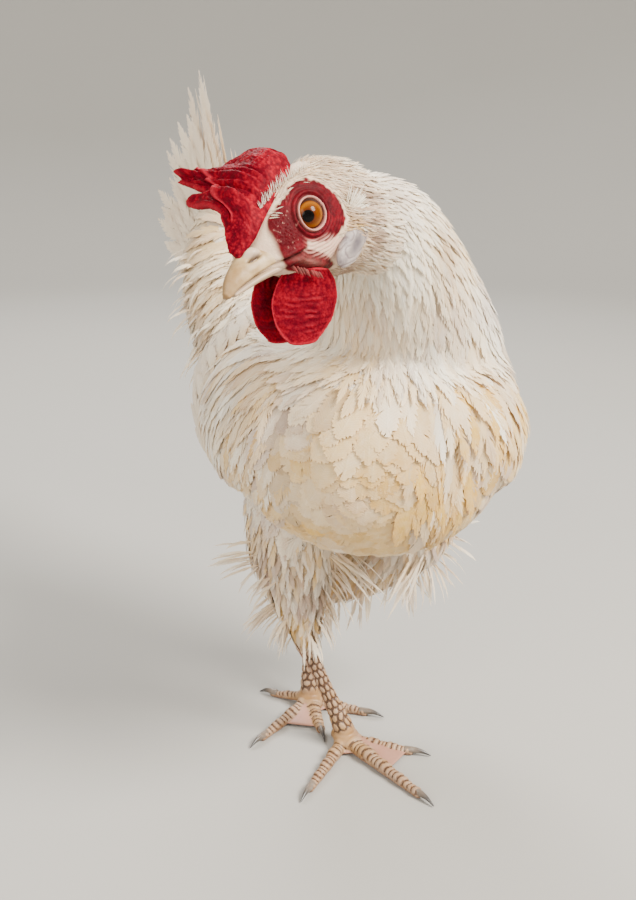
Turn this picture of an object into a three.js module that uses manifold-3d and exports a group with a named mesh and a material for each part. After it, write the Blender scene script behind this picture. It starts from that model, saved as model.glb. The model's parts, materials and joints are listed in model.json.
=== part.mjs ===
// A white hen, life size, walking, with its head turned to its right and tilted to look up.
// Frame: millimetres, +Z up, the hen walks towards -Y and its left side is +X.
// The floor is z = 0, and the origin is the middle of the bounding box's foot.
import * as THREE from 'three';
import { mergeVertices } from 'three/addons/utils/BufferGeometryUtils.js';
import Module from 'manifold-3d';

const wasm = await Module();
wasm.setup();
const { Manifold } = wasm;

const { degToRad, lerp, smoothstep } = THREE.MathUtils;
const V = (x, y, z) => new THREE.Vector3(x, y, z);
const UP = V(0, 0, 1);
const DOWN = V(0, 0, -1);
const AHEAD = V(0, -1, 0);

// ---------------------------------------------------------------- driving dimensions
const gap = 0.3; // clearance between touching nodes
const sidesBody = 20; // facets round the body
const sidesToe = 6; // facets round a toe

const torso = {
  halfWidth: 82,
  back: 74, // spine line to the back
  keel: 70, // spine line to the belly
  // x, y, z of the spine line (it bows to the left), then shares of the half width, back and keel
  stations: [
    [-39, -112.5, 212, 0.16, 0.18, 0.18],
    [-38, -109, 212, 0.34, 0.37, 0.37],
    [-36, -101, 212, 0.54, 0.58, 0.57],
    [-30, -87, 212, 0.75, 0.79, 0.77],
    [-18, -60, 211, 0.92, 0.94, 0.92],
    [-6, -25, 210, 0.99, 1.01, 0.98],
    [2, 10, 210, 1.0, 1.0, 1.01],
    [4, 45, 212, 0.94, 0.93, 1.0],
    [5, 80, 219, 0.79, 0.8, 0.89],
    [4, 108, 231, 0.6, 0.64, 0.7],
    [3, 130, 243, 0.4, 0.45, 0.48],
    [3, 142, 251, 0.22, 0.25, 0.27],
    [3, 146, 254, 0.1, 0.11, 0.12],
  ],
};

// the neck leaves the shoulders and reaches forward, up and to the right
const neckStations = [
  { at: V(9, -20, 226), side: 79, up: 60 },
  { at: V(2, -44, 262), side: 61, up: 53 },
  { at: V(-13, -68, 295), side: 45, up: 45 },
  { at: V(-30, -88, 320), side: 33, up: 36 },
  { at: V(-46, -100, 333), side: 25, up: 27 },
  { at: V(-62, -109, 338), side: 20, up: 22 },
];

// the head's own frame: x to the bill's tip, y to its left, z to its crown, origin at the bill's tip
const head = {
  tip: V(-139.4, -148.4, 314),
  scale: 1.03,
  turn: 65, // degrees from straight ahead to the hen's right
  pitch: 12.5, // bill down
  roll: 11.5, // crown towards the hen's right
};
const eye = { x: -47.4, y: 11, z: 15.5, ball: 7.2, lidRadius: 6.1, lidTube: 1.35, lookAhead: 24 };
const earlobe = { x: -63.6, y: 14.6, z: -4, radii: [5.6, 3, 11.8], lean: 57 };

// A leg's hang is how far its outer locks turn from the thigh's line to straight down.
// Its toes: degrees from straight ahead towards the hen's right, and the reach from hub to claw tip.
const rightLeg = {
  side: -1,
  hub: V(-10.8, -14.7, 0),
  hock: V(-27, 8, 64),
  thigh: V(-38, 14, 168),
  swell: V(0, 0, 0),
  hang: 0,
  toes: { inner: [-48.7, 54], middle: [-10.3, 81], outer: [51, 66], hind: [-162, 27] },
};
const leftLeg = {
  side: 1,
  hub: V(-9, 38.3, 0),
  hock: V(-2, 53, 64),
  thigh: V(54, 6, 170),
  swell: V(18, -4, -6),
  hang: 0.9,
  toes: { inner: [62, 64], middle: [15, 47], outer: [-44, 51], hind: [143, 38] },
};
const toeRadius = { inner: 4.4, middle: 4.9, outer: 4.3, hind: 3.5 };
const toeRings = { inner: 5, middle: 7, outer: 6, hind: 2 };
const hubHeight = 8;
const clawLength = 13;

const tail = { root: V(-10, 138, 266), sway: -0.05, buried: 18, length: 114, lowAngle: 26, highAngle: 62 };

// ---------------------------------------------------------------- solids
function random(seed) {
  let state = seed;
  return () => {
    state = (state * 1664525 + 1013904223) % 4294967296;
    return state / 4294967296;
  };
}

function geometryOf(points, faces) {
  const geometry = new THREE.BufferGeometry();
  const numbers = points.flatMap((p) => p.toArray());
  geometry.setAttribute('position', new THREE.Float32BufferAttribute(numbers, 3));
  geometry.setIndex(faces.flat());
  return geometry;
}

function solid(geometry, matrix) {
  const bare = new THREE.BufferGeometry();
  bare.setAttribute('position', geometry.getAttribute('position').clone());
  if (geometry.index) bare.setIndex(geometry.index.clone());
  if (matrix) bare.applyMatrix4(matrix);
  const merged = mergeVertices(bare, 1e-3);
  return new Manifold(new wasm.Mesh({
    numProp: 3,
    vertProperties: merged.attributes.position.array,
    triVerts: new Uint32Array(merged.index.array),
  }));
}

// the solid of these faces, turned so that they face out
function outward(points, faces, matrix) {
  const made = solid(geometryOf(points, faces), matrix);
  return made.volume() > 0 ? made : solid(geometryOf(points, faces.map(([a, b, c]) => [a, c, b])), matrix);
}

const join = (...solids) => solids.flat().reduce((a, b) => a.add(b));
const cut = (body, ...tools) => tools.flat().reduce((a, b) => a.subtract(b), body);

// a block whose flat face passes through at, and which fills the side that the direction points to
function block(at, direction) {
  const size = 80;
  const box = new THREE.BoxGeometry(size, size, size).translate(0, 0, size / 2);
  const turn = new THREE.Quaternion().setFromUnitVectors(UP, direction);
  return solid(box, new THREE.Matrix4().compose(at, turn, V(1, 1, 1)));
}

// A rounded form lofted along a smooth spine. Its section is an ellipse with its own upper and lower half.
class Form {
  constructor(stations, { caps = [10, 10], hint = UP, fullness = 2, matrix = null, capRings = 2 } = {}) {
    this.spine = new THREE.CatmullRomCurve3(stations.map((s) => s.at));
    this.sizes = new THREE.CatmullRomCurve3(stations.map((s) => V(s.side, s.up, s.down ?? s.up)));
    Object.assign(this, { caps, hint, fullness, matrix, capRings });
  }

  frame(t) {
    const along = this.spine.getTangent(t);
    const side = along.clone().cross(this.hint).normalize();
    const up = side.clone().cross(along);
    return { at: this.spine.getPoint(t), along, side, up, size: this.sizes.getPoint(t) };
  }

  // the point at angle a (0 on the side, 90 degrees on top), lifted off the surface
  point(t, a, lift = 0, f = this.frame(t), share = 1, shift = 0) {
    const bend = (c) => Math.sign(c) * Math.abs(c) ** (2 / this.fullness);
    const across = bend(Math.cos(a)) * (f.size.x * share + lift);
    const height = bend(Math.sin(a)) * ((Math.sin(a) > 0 ? f.size.y : f.size.z) * share + lift);
    return f.at.clone()
      .addScaledVector(f.side, across)
      .addScaledVector(f.up, height)
      .addScaledVector(f.along, shift);
  }

  normal(t, a) {
    const step = 0.01;
    const alongT = this.point(Math.min(t + step, 1), a).sub(this.point(Math.max(t - step, 0), a));
    const aroundA = this.point(t, a + step).sub(this.point(t, a - step));
    return alongT.cross(aroundA).normalize();
  }

  geometry(rings, sides, grow = 0) {
    const points = [];
    const faces = [];
    const { capRings } = this;
    const ring = (t, share, shift) => {
      const f = this.frame(t);
      for (let k = 0; k < sides; k++) {
        points.push(this.point(t, (2 * Math.PI * k) / sides, grow * share, f, share, shift));
      }
    };
    const pole = (t, shift) => {
      const f = this.frame(t);
      points.push(f.at.addScaledVector(f.along, shift));
    };
    const [front, rear] = this.caps.map((length) => length + grow);
    pole(0, -front);
    for (let j = capRings; j > 0; j--) {
      const a = (j / (capRings + 1)) * (Math.PI / 2);
      ring(0, Math.cos(a), -front * Math.sin(a));
    }
    for (let i = 0; i <= rings; i++) ring(i / rings, 1, 0);
    for (let j = 1; j <= capRings; j++) {
      const a = (j / (capRings + 1)) * (Math.PI / 2);
      ring(1, Math.cos(a), rear * Math.sin(a));
    }
    pole(1, rear);
    const last = points.length - 1;
    const ringCount = rings + 1 + 2 * capRings;
    const at = (i, k) => 1 + i * sides + (k % sides);
    for (let k = 0; k < sides; k++) {
      faces.push([0, at(0, k), at(0, k + 1)]);
      for (let i = 0; i < ringCount - 1; i++) {
        faces.push([at(i, k), at(i + 1, k), at(i + 1, k + 1)], [at(i, k), at(i + 1, k + 1), at(i, k + 1)]);
      }
      faces.push([last, at(ringCount - 1, k + 1), at(ringCount - 1, k)]);
    }
    return geometryOf(points, faces);
  }

  solid(rings, sides, grow = 0) {
    return solid(this.geometry(rings, sides, grow), this.matrix);
  }
}

// A feather or lock: a thin plate with a raised quill line, lofted along path(s) = { at, out }, s from 0
// to 1. Both faces are split along the same lines.
function vane(path, { halfWidth, thick = 1.1, steps = 4, tipShape = 0.5, rootShare = 0.5 }) {
  const points = [];
  const faces = [];
  const ahead = 0.02;
  for (let i = 0; i < steps; i++) {
    const s = 1 - (1 - i / steps) ** 1.7; // closer together towards the tip, which they round
    const here = path(s);
    const along = path(s + ahead).at.sub(here.at).normalize();
    const across = here.out.clone().cross(along).normalize();
    const out = along.clone().cross(across).normalize();
    const taper = (1 - s ** (2 / tipShape)) ** 0.5;
    const w = halfWidth * lerp(rootShare, 1, smoothstep(s, 0, 0.45)) * taper;
    const h = (thick / 2) * lerp(1, 0.6, s);
    points.push(
      here.at.clone().addScaledVector(across, w).addScaledVector(out, -h * 0.5),
      here.at.clone().addScaledVector(out, h),
      here.at.clone().addScaledVector(across, -w).addScaledVector(out, -h * 0.5),
      here.at.clone().addScaledVector(out, -h),
    );
  }
  points.push(path(1).at);
  const tip = points.length - 1;
  for (let i = 0; i < steps - 1; i++) {
    for (let k = 0; k < 4; k++) {
      const a = 4 * i + k;
      const b = 4 * i + ((k + 1) % 4);
      const edgeFirst = k % 2 === 0; // the diagonal leaves the plate's edge on both faces
      if (edgeFirst) faces.push([a, a + 4, b + 4], [a, b + 4, b]);
      else faces.push([a, a + 4, b], [b, a + 4, b + 4]);
    }
  }
  for (let k = 0; k < 4; k++) {
    faces.push([tip - 4 + k, tip, tip - 4 + ((k + 1) % 4)]);
  }
  faces.push([0, 1, 2], [0, 2, 3]);
  return outward(points, faces);
}

// a curved patch that lies on a form, sunk into it by depth and raised by lift(s, r)
function patch(form, { rows, columns, t, angles, lift, depth }) {
  const points = [];
  const faces = [];
  const stride = columns + 1;
  const count = (rows + 1) * stride;
  for (const layer of [0, 1]) {
    for (let i = 0; i <= rows; i++) {
      for (let j = 0; j <= columns; j++) {
        const s = i / rows;
        const r = j / columns;
        const [low, high] = angles(s);
        const raised = layer ? lift(s, r) : -depth;
        points.push(form.point(lerp(t[0], t[1], s), degToRad(lerp(low, high, r)), raised));
      }
    }
  }
  const quad = (a, b, c, d) => faces.push([a, b, c], [a, c, d]);
  for (let i = 0; i < rows; i++) {
    for (let j = 0; j < columns; j++) {
      const a = i * stride + j;
      quad(a, a + 1, a + stride + 1, a + stride);
      quad(count + a, count + a + stride, count + a + stride + 1, count + a + 1);
    }
  }
  for (let i = 0; i < rows; i++) {
    const low = i * stride;
    const high = low + columns;
    quad(low, low + stride, count + low + stride, count + low);
    quad(high, count + high, count + high + stride, high + stride);
  }
  for (let j = 0; j < columns; j++) {
    const rear = rows * stride + j;
    quad(j, count + j, count + j + 1, j + 1);
    quad(rear, rear + 1, count + rear + 1, count + rear);
  }
  return outward(points, faces);
}

function ellipsoid(centre, radii, matrix = new THREE.Matrix4(), segments = 14) {
  const place = matrix.clone().multiply(new THREE.Matrix4().makeTranslation(centre)).scale(radii);
  return solid(new THREE.SphereGeometry(1, segments, Math.round(segments * 0.7)), place);
}

// ---------------------------------------------------------------- materials
const finish = (color, roughness) => new THREE.MeshStandardMaterial({ color, roughness, metalness: 0 });
const plumage = finish(0xe9e2d2, 0.85);
const quillFeather = finish(0xefe9dc, 0.7);
const redSkin = finish(0xb8141f, 0.5);
const whiteLobe = finish(0xe4e2e4, 0.55);
const horn = finish(0xcdb483, 0.4);
const scaledSkin = finish(0xcf9f5e, 0.55);
const claw = finish(0x8a8078, 0.4);
const eyeball = finish(0xb8741a, 0.08);

const hen = new THREE.Group();

// A node keeps only its largest closed surface, so scraps left by cuts are dropped.
function addNode(name, made, material) {
  const largest = made.decompose().reduce((a, b) => (a.volume() > b.volume() ? a : b));
  const mesh = largest.getMesh();
  const geometry = new THREE.BufferGeometry();
  geometry.setAttribute('position', new THREE.BufferAttribute(mesh.vertProperties.slice(), 3));
  geometry.setIndex(new THREE.BufferAttribute(mesh.triVerts.slice(), 1));
  geometry.computeVertexNormals();
  const node = new THREE.Mesh(geometry, material);
  node.name = name;
  hen.add(node);
  return largest;
}

// ---------------------------------------------------------------- torso and neck
const torsoForm = new Form(torso.stations.map(([x, y, z, side, up, down]) => ({
  at: V(x, y, z),
  side: side * torso.halfWidth,
  up: up * torso.back,
  down: down * torso.keel,
})), { caps: [2, 2], fullness: 2.1, capRings: 1 });
const torsoRings = 12;
const torsoSolid = addNode('torso', torsoForm.solid(torsoRings, sidesBody), plumage);
const torsoTool = torsoForm.solid(torsoRings, sidesBody, gap);

const neckForm = new Form(neckStations, { caps: [20, 8] });
const neckRings = 8;
const neckTool = neckForm.solid(neckRings, sidesBody, gap);
addNode('neck', cut(neckForm.solid(neckRings, sidesBody), torsoTool), plumage);

// ---------------------------------------------------------------- head
const turned = degToRad(head.turn);
const tipped = degToRad(head.pitch);
const rolled = degToRad(head.roll);
const level = V(-Math.sin(turned), -Math.cos(turned), 0);
const levelLeft = V(-level.y, level.x, 0);
const ahead = level.clone().multiplyScalar(Math.cos(tipped)).addScaledVector(UP, -Math.sin(tipped));
const leftward = levelLeft.clone().multiplyScalar(Math.cos(rolled))
  .addScaledVector(ahead.clone().cross(levelLeft), Math.sin(rolled));
const crownward = ahead.clone().cross(leftward);
const headFrame = new THREE.Matrix4()
  .makeBasis(ahead, leftward, crownward)
  .scale(V(head.scale, head.scale, head.scale))
  .setPosition(head.tip);
const inHead = (x, y, z) => V(x, y, z).applyMatrix4(headFrame);

const skullForm = new Form([
  { at: V(-17, 0, 4.5), side: 6.6, up: 7.5, down: 5 },
  { at: V(-26, 0, 6), side: 9.4, up: 11.5, down: 9 },
  { at: V(-36, 0, 7.5), side: 12.2, up: 18, down: 13 },
  { at: V(-48, 0, 8.5), side: 14.2, up: 24, down: 17.5 },
  { at: V(-60, 0, 7.5), side: 15.6, up: 28, down: 20 },
  { at: V(-71, 0, 4), side: 16.4, up: 29, down: 20.5 },
  { at: V(-81, 0, -1), side: 16, up: 27, down: 17 },
], { caps: [3, 9], matrix: headFrame });

const billTopForm = new Form([
  { at: V(-27, 0, 4.4), side: 8.2, up: 7.6, down: 1.6 },
  { at: V(-20, 0, 3.9), side: 7.4, up: 7.7, down: 1.5 },
  { at: V(-13, 0, 2.9), side: 6, up: 6.7, down: 1.4 },
  { at: V(-6, 0, 1.2), side: 4, up: 4.4, down: 1.4 },
  { at: V(-1.5, 0, -1), side: 1.8, up: 2, down: 1.5 },
], { caps: [2, 1.4], matrix: headFrame });
const billLowForm = new Form([
  { at: V(-28, 0, 0.6), side: 7, up: 2.2, down: 2.8 },
  { at: V(-19, 0, 0.2), side: 5.5, up: 2.1, down: 2.3 },
  { at: V(-11, 0, -0.8), side: 3.8, up: 1.7, down: 1.8 },
  { at: V(-5, 0, -1.9), side: 2.1, up: 1.2, down: 1.1 },
], { caps: [2, 1.2], matrix: headFrame });

const sides = [['left', 1], ['right', -1]];
const nostrilFlap = (side, grow = 0) => {
  const radii = V(3.6, 1.7, 1.9).addScalar(grow);
  return ellipsoid(V(-18, side * 3.9, 9.6), radii, headFrame, 7);
};
const nostril = (side) => ellipsoid(V(-16.4, side * 5.9, 7.4), V(2.9, 2, 0.9), headFrame, 8);
const billTop = join(billTopForm.solid(6, 12), sides.map(([, side]) => nostrilFlap(side)));
const billTopTool = join(billTopForm.solid(6, 12, gap), sides.map(([, side]) => nostrilFlap(side, gap)));
const billLowTool = billLowForm.solid(5, 10, gap);

const eyeCentre = (side, depth = 0) => V(eye.x, side * (eye.y - depth), eye.z);
const eyeTurn = (side) => new THREE.Matrix4().makeTranslation(eyeCentre(side))
  .multiply(new THREE.Matrix4().makeRotationZ(side * degToRad(90 - eye.lookAhead)));
const ball = (side, grow = 0) => {
  const r = eye.ball + grow / head.scale;
  return solid(
    new THREE.SphereGeometry(1, 12, 8),
    headFrame.clone().multiply(new THREE.Matrix4().makeTranslation(eyeCentre(side, 2.2))).scale(V(r, r, r)),
  );
};
// the lids: a ring of skin round the visible part of the eye, and the brow above it
const lids = (side) => {
  const ring = new THREE.TorusGeometry(eye.lidRadius, eye.lidTube, 4, 12);
  ring.rotateY(Math.PI / 2);
  ring.translate(2.2, 0, 0);
  return solid(ring, headFrame.clone().multiply(eyeTurn(side)));
};
const skull = join(
  skullForm.solid(7, 16),
  sides.map(([, side]) => lids(side)),
);
addNode('head', cut(skull, neckTool, billTopTool, billLowTool, ball(1, gap), ball(-1, gap)), redSkin);
const headTool = skullForm.solid(7, 16, gap);

addNode('bill_upper', cut(billTop, nostril(1), nostril(-1)), horn);
addNode('bill_lower', cut(billLowForm.solid(5, 10), billTopTool), horn);
for (const [name, side] of sides) {
  addNode(`eye_${name}`, ball(side), eyeball);
  const place = new THREE.Matrix4().makeRotationY(degToRad(-earlobe.lean));
  place.setPosition(earlobe.x, side * earlobe.y, earlobe.z);
  const lobe = ellipsoid(V(0, 0, 0), V(...earlobe.radii), headFrame.clone().multiply(place), 10);
  addNode(`earlobe_${name}`, cut(lobe, headTool, neckTool), whiteLobe);
}

// ---------------------------------------------------------------- comb and wattles
// The comb stands on the skull's midline, then bends over to the right. Its rim goes from the front over
// a folded point and a blade with three points to the low rear: how far it reaches, and where it lies at
// the rim in degrees from upright.
const comb = {
  front: V(-13, 0, 9),
  back: V(-56, 0, 34.5),
  arch: 1.5,
  rim: [
    [6, 66], [9, 68], [12, 60], [16, 60], [20, 62], [38, 88], [46, 92], [34, 78], [47, 88], [59, 92],
    [64, 92], [60, 92], [50, 92], [43, 94], [39, 98], [32, 92], [26, 86], [21, 76], [15, 62], [9, 32],
    [5, 12],
  ],
  upright: 8,
  base: 11,
  edge: 2.6,
  columns: 5,
};
function combSolid() {
  const { columns } = comb;
  const rows = comb.rim.length - 1;
  const stride = columns + 1;
  const count = (rows + 1) * stride;
  const faceOf = (face) => comb.rim.map(([reach, lie], i) => {
    const s = i / rows;
    const ends = Math.min(1, 0.3 + 4 * Math.min(s, 1 - s));
    const back = smoothstep(s, 0.55, 1);
    const step = reach / columns;
    let at = comb.front.clone().lerp(comb.back, s).add(V(0, 0, comb.arch * Math.sin(Math.PI * s)));
    return Array.from({ length: stride }, (_, j) => {
      const r = j / columns;
      const bent = smoothstep(r, lerp(0, 0.22, back), lerp(0.6, 0.75, back));
      const turn = degToRad(lerp(comb.upright, lie, bent));
      if (j > 0) at = at.clone().add(V(-0.12 * step, -Math.sin(turn) * step, Math.cos(turn) * step));
      const half = (lerp(comb.base, comb.edge, r ** 0.45) / 2) * ends;
      return at.clone().addScaledVector(V(0, Math.cos(turn), Math.sin(turn)), face * half);
    });
  }).flat();
  const points = [...faceOf(-1), ...faceOf(1)];
  const faces = [];
  const quad = (a, b, c, d) => faces.push([a, b, c], [a, c, d]);
  for (let i = 0; i < rows; i++) {
    for (let j = 0; j < columns; j++) {
      const a = i * stride + j;
      quad(a, a + 1, a + stride + 1, a + stride);
      quad(count + a, count + a + stride, count + a + stride + 1, count + a + 1);
    }
    const low = i * stride;
    const high = low + columns;
    quad(low, low + stride, count + low + stride, count + low);
    quad(high, count + high, count + high + stride, high + stride);
  }
  for (let j = 0; j < columns; j++) {
    const rear = rows * stride + j;
    quad(j, count + j, count + j + 1, j + 1);
    quad(rear, rear + 1, count + rear + 1, count + rear);
  }
  return outward(points, faces, headFrame);
}
addNode('comb', cut(combSolid(), headTool, billTopTool), redSkin);

// a wattle: a flap that hangs straight down from the corner of the mouth, its face turned ahead
const wattle = { drop: 27, halfWidth: 15.6, thick: 3.8, faceTurn: 3 };
for (const [name, side] of sides) {
  const top = inHead(side > 0 ? -41 : -38, side > 0 ? 5 : -3, side > 0 ? -9 : -6.5);
  const out = V(Math.sin(degToRad(wattle.faceTurn)), -Math.cos(degToRad(wattle.faceTurn)), 0);
  const wattleForm = new Form([0, 0.15, 0.4, 0.65, 0.85, 0.97].map((s) => ({
    at: top.clone().addScaledVector(UP, -lerp(-3, wattle.drop, s)).addScaledVector(out, -3 * s),
    side: wattle.halfWidth * Math.sin(Math.PI * lerp(0.2, 0.93, s)) ** 0.6,
    up: wattle.thick / 2,
  })), { caps: [2, 2], hint: out });
  addNode(`wattle_${name}`, cut(wattleForm.solid(6, 10), headTool, billLowTool, neckTool), redSkin);
}

// ---------------------------------------------------------------- what the wings, tail and legs share
const thighForm = (leg) => {
  const along = (s) => leg.thigh.clone().lerp(leg.hock, s);
  return new Form([
    { at: along(0), side: 26, up: 36 },
    { at: along(0.35).add(leg.swell), side: 30, up: 36 },
    { at: along(0.62).addScaledVector(leg.swell, 0.8), side: 24, up: 26 },
    { at: along(0.86), side: 15, up: 15 },
    { at: leg.hock.clone().lerp(leg.hub, 0.1), side: 8.6, up: 9 },
  ], { caps: [8, 4], hint: AHEAD });
};
const thighRings = 6;
const thighSides = 12;
const rumpForm = new Form([
  { at: V(1, 84, 226), side: 58, up: 56 },
  { at: V(-5, 110, 246), side: 54, up: 49 },
  { at: V(-12, 134, 267), side: 43, up: 41 },
  { at: V(-17, 154, 289), side: 28, up: 32 },
  { at: V(-19, 170, 308), side: 13, up: 20 },
], { caps: [8, 7] });
const rumpRings = 6;
const rumpSides = 14;

// ---------------------------------------------------------------- wings
// Each wing is a raised patch on the flank. Its feathers stand out of it in tiers, tips towards the tail:
// primaries, secondaries, coverts and lesser coverts.
// Places on the wing: t runs along the body from 0 at the breast to 1 at the rump, and a, in degrees,
// round it from the side.
const wingShape = {
  start: { left: 0.187, right: 0.247 },
  end: 0.727,
  low: -30,
  high: 52,
  bulge: 8,
  edge: 1.2,
  sunk: 3,
};
const wingTiers = [
  { count: 3, width: 13, root: { t: [0.55, 0.6], a: [-20, -4] }, tip: { t: [0.82, 0.9], a: [-3, 14] } },
  { count: 6, width: 15.2, root: { t: [0.53, 0.64], a: [-21, 42] }, tip: { t: [0.76, 0.83], a: [-15, 37] } },
  { count: 5, width: 19.2, root: { t: [0.44, 0.51], a: [-22, 44] }, tip: { t: [0.62, 0.7], a: [-21, 44] } },
  { count: 3, width: 26, root: { t: [0.31, 0.36], a: [-14, 34] }, tip: { t: [0.48, 0.54], a: [-17, 39] } },
];
function wing(name, side) {
  const angle = (a) => degToRad(side > 0 ? a : 180 - a);
  const { start, end, low, high, bulge, edge, sunk } = wingShape;
  const span = (t) => (t - start[name]) / (end - start[name]);
  const edges = (s) => [
    lerp(-6, low, Math.sin(Math.PI * Math.min(1, s * 1.12))),
    lerp(24, high, Math.sin(Math.PI * Math.min(1, 0.1 + s * 0.9)) ** 0.8),
  ];
  const surface = (s, r) => {
    const along = Math.sin(Math.PI * Math.min(1, 0.12 + 0.83 * s)) ** 0.6;
    return edge + bulge * Math.sin(Math.PI * r) ** 0.7 * along;
  };
  const lift = (t, a) => {
    const s = span(t);
    if (s < 0 || s > 1) return edge;
    const [from, to] = edges(s);
    return surface(s, THREE.MathUtils.clamp((a - from) / (to - from), 0, 1));
  };
  const base = patch(torsoForm, {
    rows: 7,
    columns: 5,
    t: [start[name], end],
    angles: (s) => edges(s).map((a) => (side > 0 ? a : 180 - a)),
    lift: surface,
    depth: sunk,
  });
  const feather = (root, tip, halfWidth, raise) => vane((s) => {
    const t = lerp(root.t, tip.t, s);
    const a = lerp(root.a, tip.a, s);
    const raised = lerp(lift(root.t, root.a) - 1.6, lift(t, a) + raise, smoothstep(s, 0, 0.55));
    return { at: torsoForm.point(t, angle(a), raised), out: torsoForm.normal(t, angle(a)) };
  }, { halfWidth, thick: 1.5, steps: 4, tipShape: 0.6 });
  const feathers = wingTiers.flatMap((tier, i) => Array.from({ length: tier.count }, (_, k) => {
    const s = k / (tier.count - 1);
    const place = ({ t, a }) => ({ t: lerp(...t, s), a: lerp(...a, s) });
    return feather(place(tier.root), place(tier.tip), tier.width / 2, i === 0 ? 3.4 : 2.2);
  }));
  const thighTool = thighForm(side > 0 ? leftLeg : rightLeg).solid(thighRings, thighSides, gap);
  return cut(join(base, feathers), torsoTool, neckTool, rumpForm.solid(rumpRings, rumpSides, gap), thighTool);
}
const wings = sides.map(([name, side]) => addNode(`wing_${name}`, wing(name, side), quillFeather));

// ---------------------------------------------------------------- tail
// A steep fan in two halves that lean apart. The outer feathers lie lowest, and coverts lie over their roots.
const fanTiers = [
  { count: 6, length: 1, inset: 2.2, halfWidth: 11, from: 0, to: 1 },
  { count: 3, length: 0.74, inset: 14.2, halfWidth: 11, from: 0.14, to: 0.98 },
];
function tailSolid() {
  const draw = random(7);
  const feather = (side, { count, length, inset, halfWidth, from, to }, i) => {
    const s = lerp(from, to, i / (count - 1));
    const angle = degToRad(lerp(tail.lowAngle, tail.highAngle, s));
    const level = inset + 2 * (count - 1 - i);
    const start = tail.root.clone().add(V(side * level, lerp(4, 0, s), lerp(-8, 12, s)));
    const reach = tail.length * length * lerp(0.9, 1.02, s) * (0.96 + 0.08 * draw());
    return vane((u) => {
      const curl = degToRad(7 * u * lerp(-1, 1, s)); // the fan's edges curve apart
      const lean = tail.sway + side * lerp(0.06, 0.01, s);
      const heading = V(lean, Math.cos(angle + curl), Math.sin(angle + curl));
      return { at: start.clone().addScaledVector(heading, tail.buried + u * reach), out: V(side, 0, 0) };
    }, { halfWidth, thick: 1.7, steps: 4, tipShape: 0.5 });
  };
  const feathers = sides.flatMap(([, side]) => fanTiers.flatMap((tier) =>
    Array.from({ length: tier.count }, (_, i) => feather(side, tier, i))));
  return cut(join(rumpForm.solid(rumpRings, rumpSides), feathers), torsoTool, wings);
}
addNode('tail', tailSolid(), quillFeather);

// ---------------------------------------------------------------- legs
function toeForm(leg, name) {
  const [degrees, tipReach] = leg.toes[name];
  const turn = degToRad(degrees);
  const out = V(-Math.sin(turn), -Math.cos(turn), 0);
  const at = (reach) => leg.hub.clone().addScaledVector(out, reach);
  const hind = name === 'hind';
  const start = hind ? 10 : 16;
  const length = tipReach - clawLength * (hind ? 0.8 : 1);
  const rings = toeRings[name];
  const stations = Array.from({ length: 2 * rings + 1 }, (_, i) => {
    const s = i / (2 * rings);
    const radius = toeRadius[name] * lerp(1, 0.66, s) * (i % 2 ? 1.07 : 0.95);
    const arch = 1.6 * Math.sin(Math.PI * Math.min(1, s * 1.2)) + (hind ? 2 * (1 - s) : 0);
    const height = radius - 0.7 + arch / 2;
    return { at: at(lerp(start - 2, length - 1, s)).setZ(height), side: radius, up: radius };
  });
  const form = new Form(stations, { caps: [2, 3], capRings: 1 });
  return { name, form, out, at, start, length, rings, hind };
}
const floorCut = solid(new THREE.BoxGeometry(1000, 1000, 40).translate(0, 0, -20));

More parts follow.
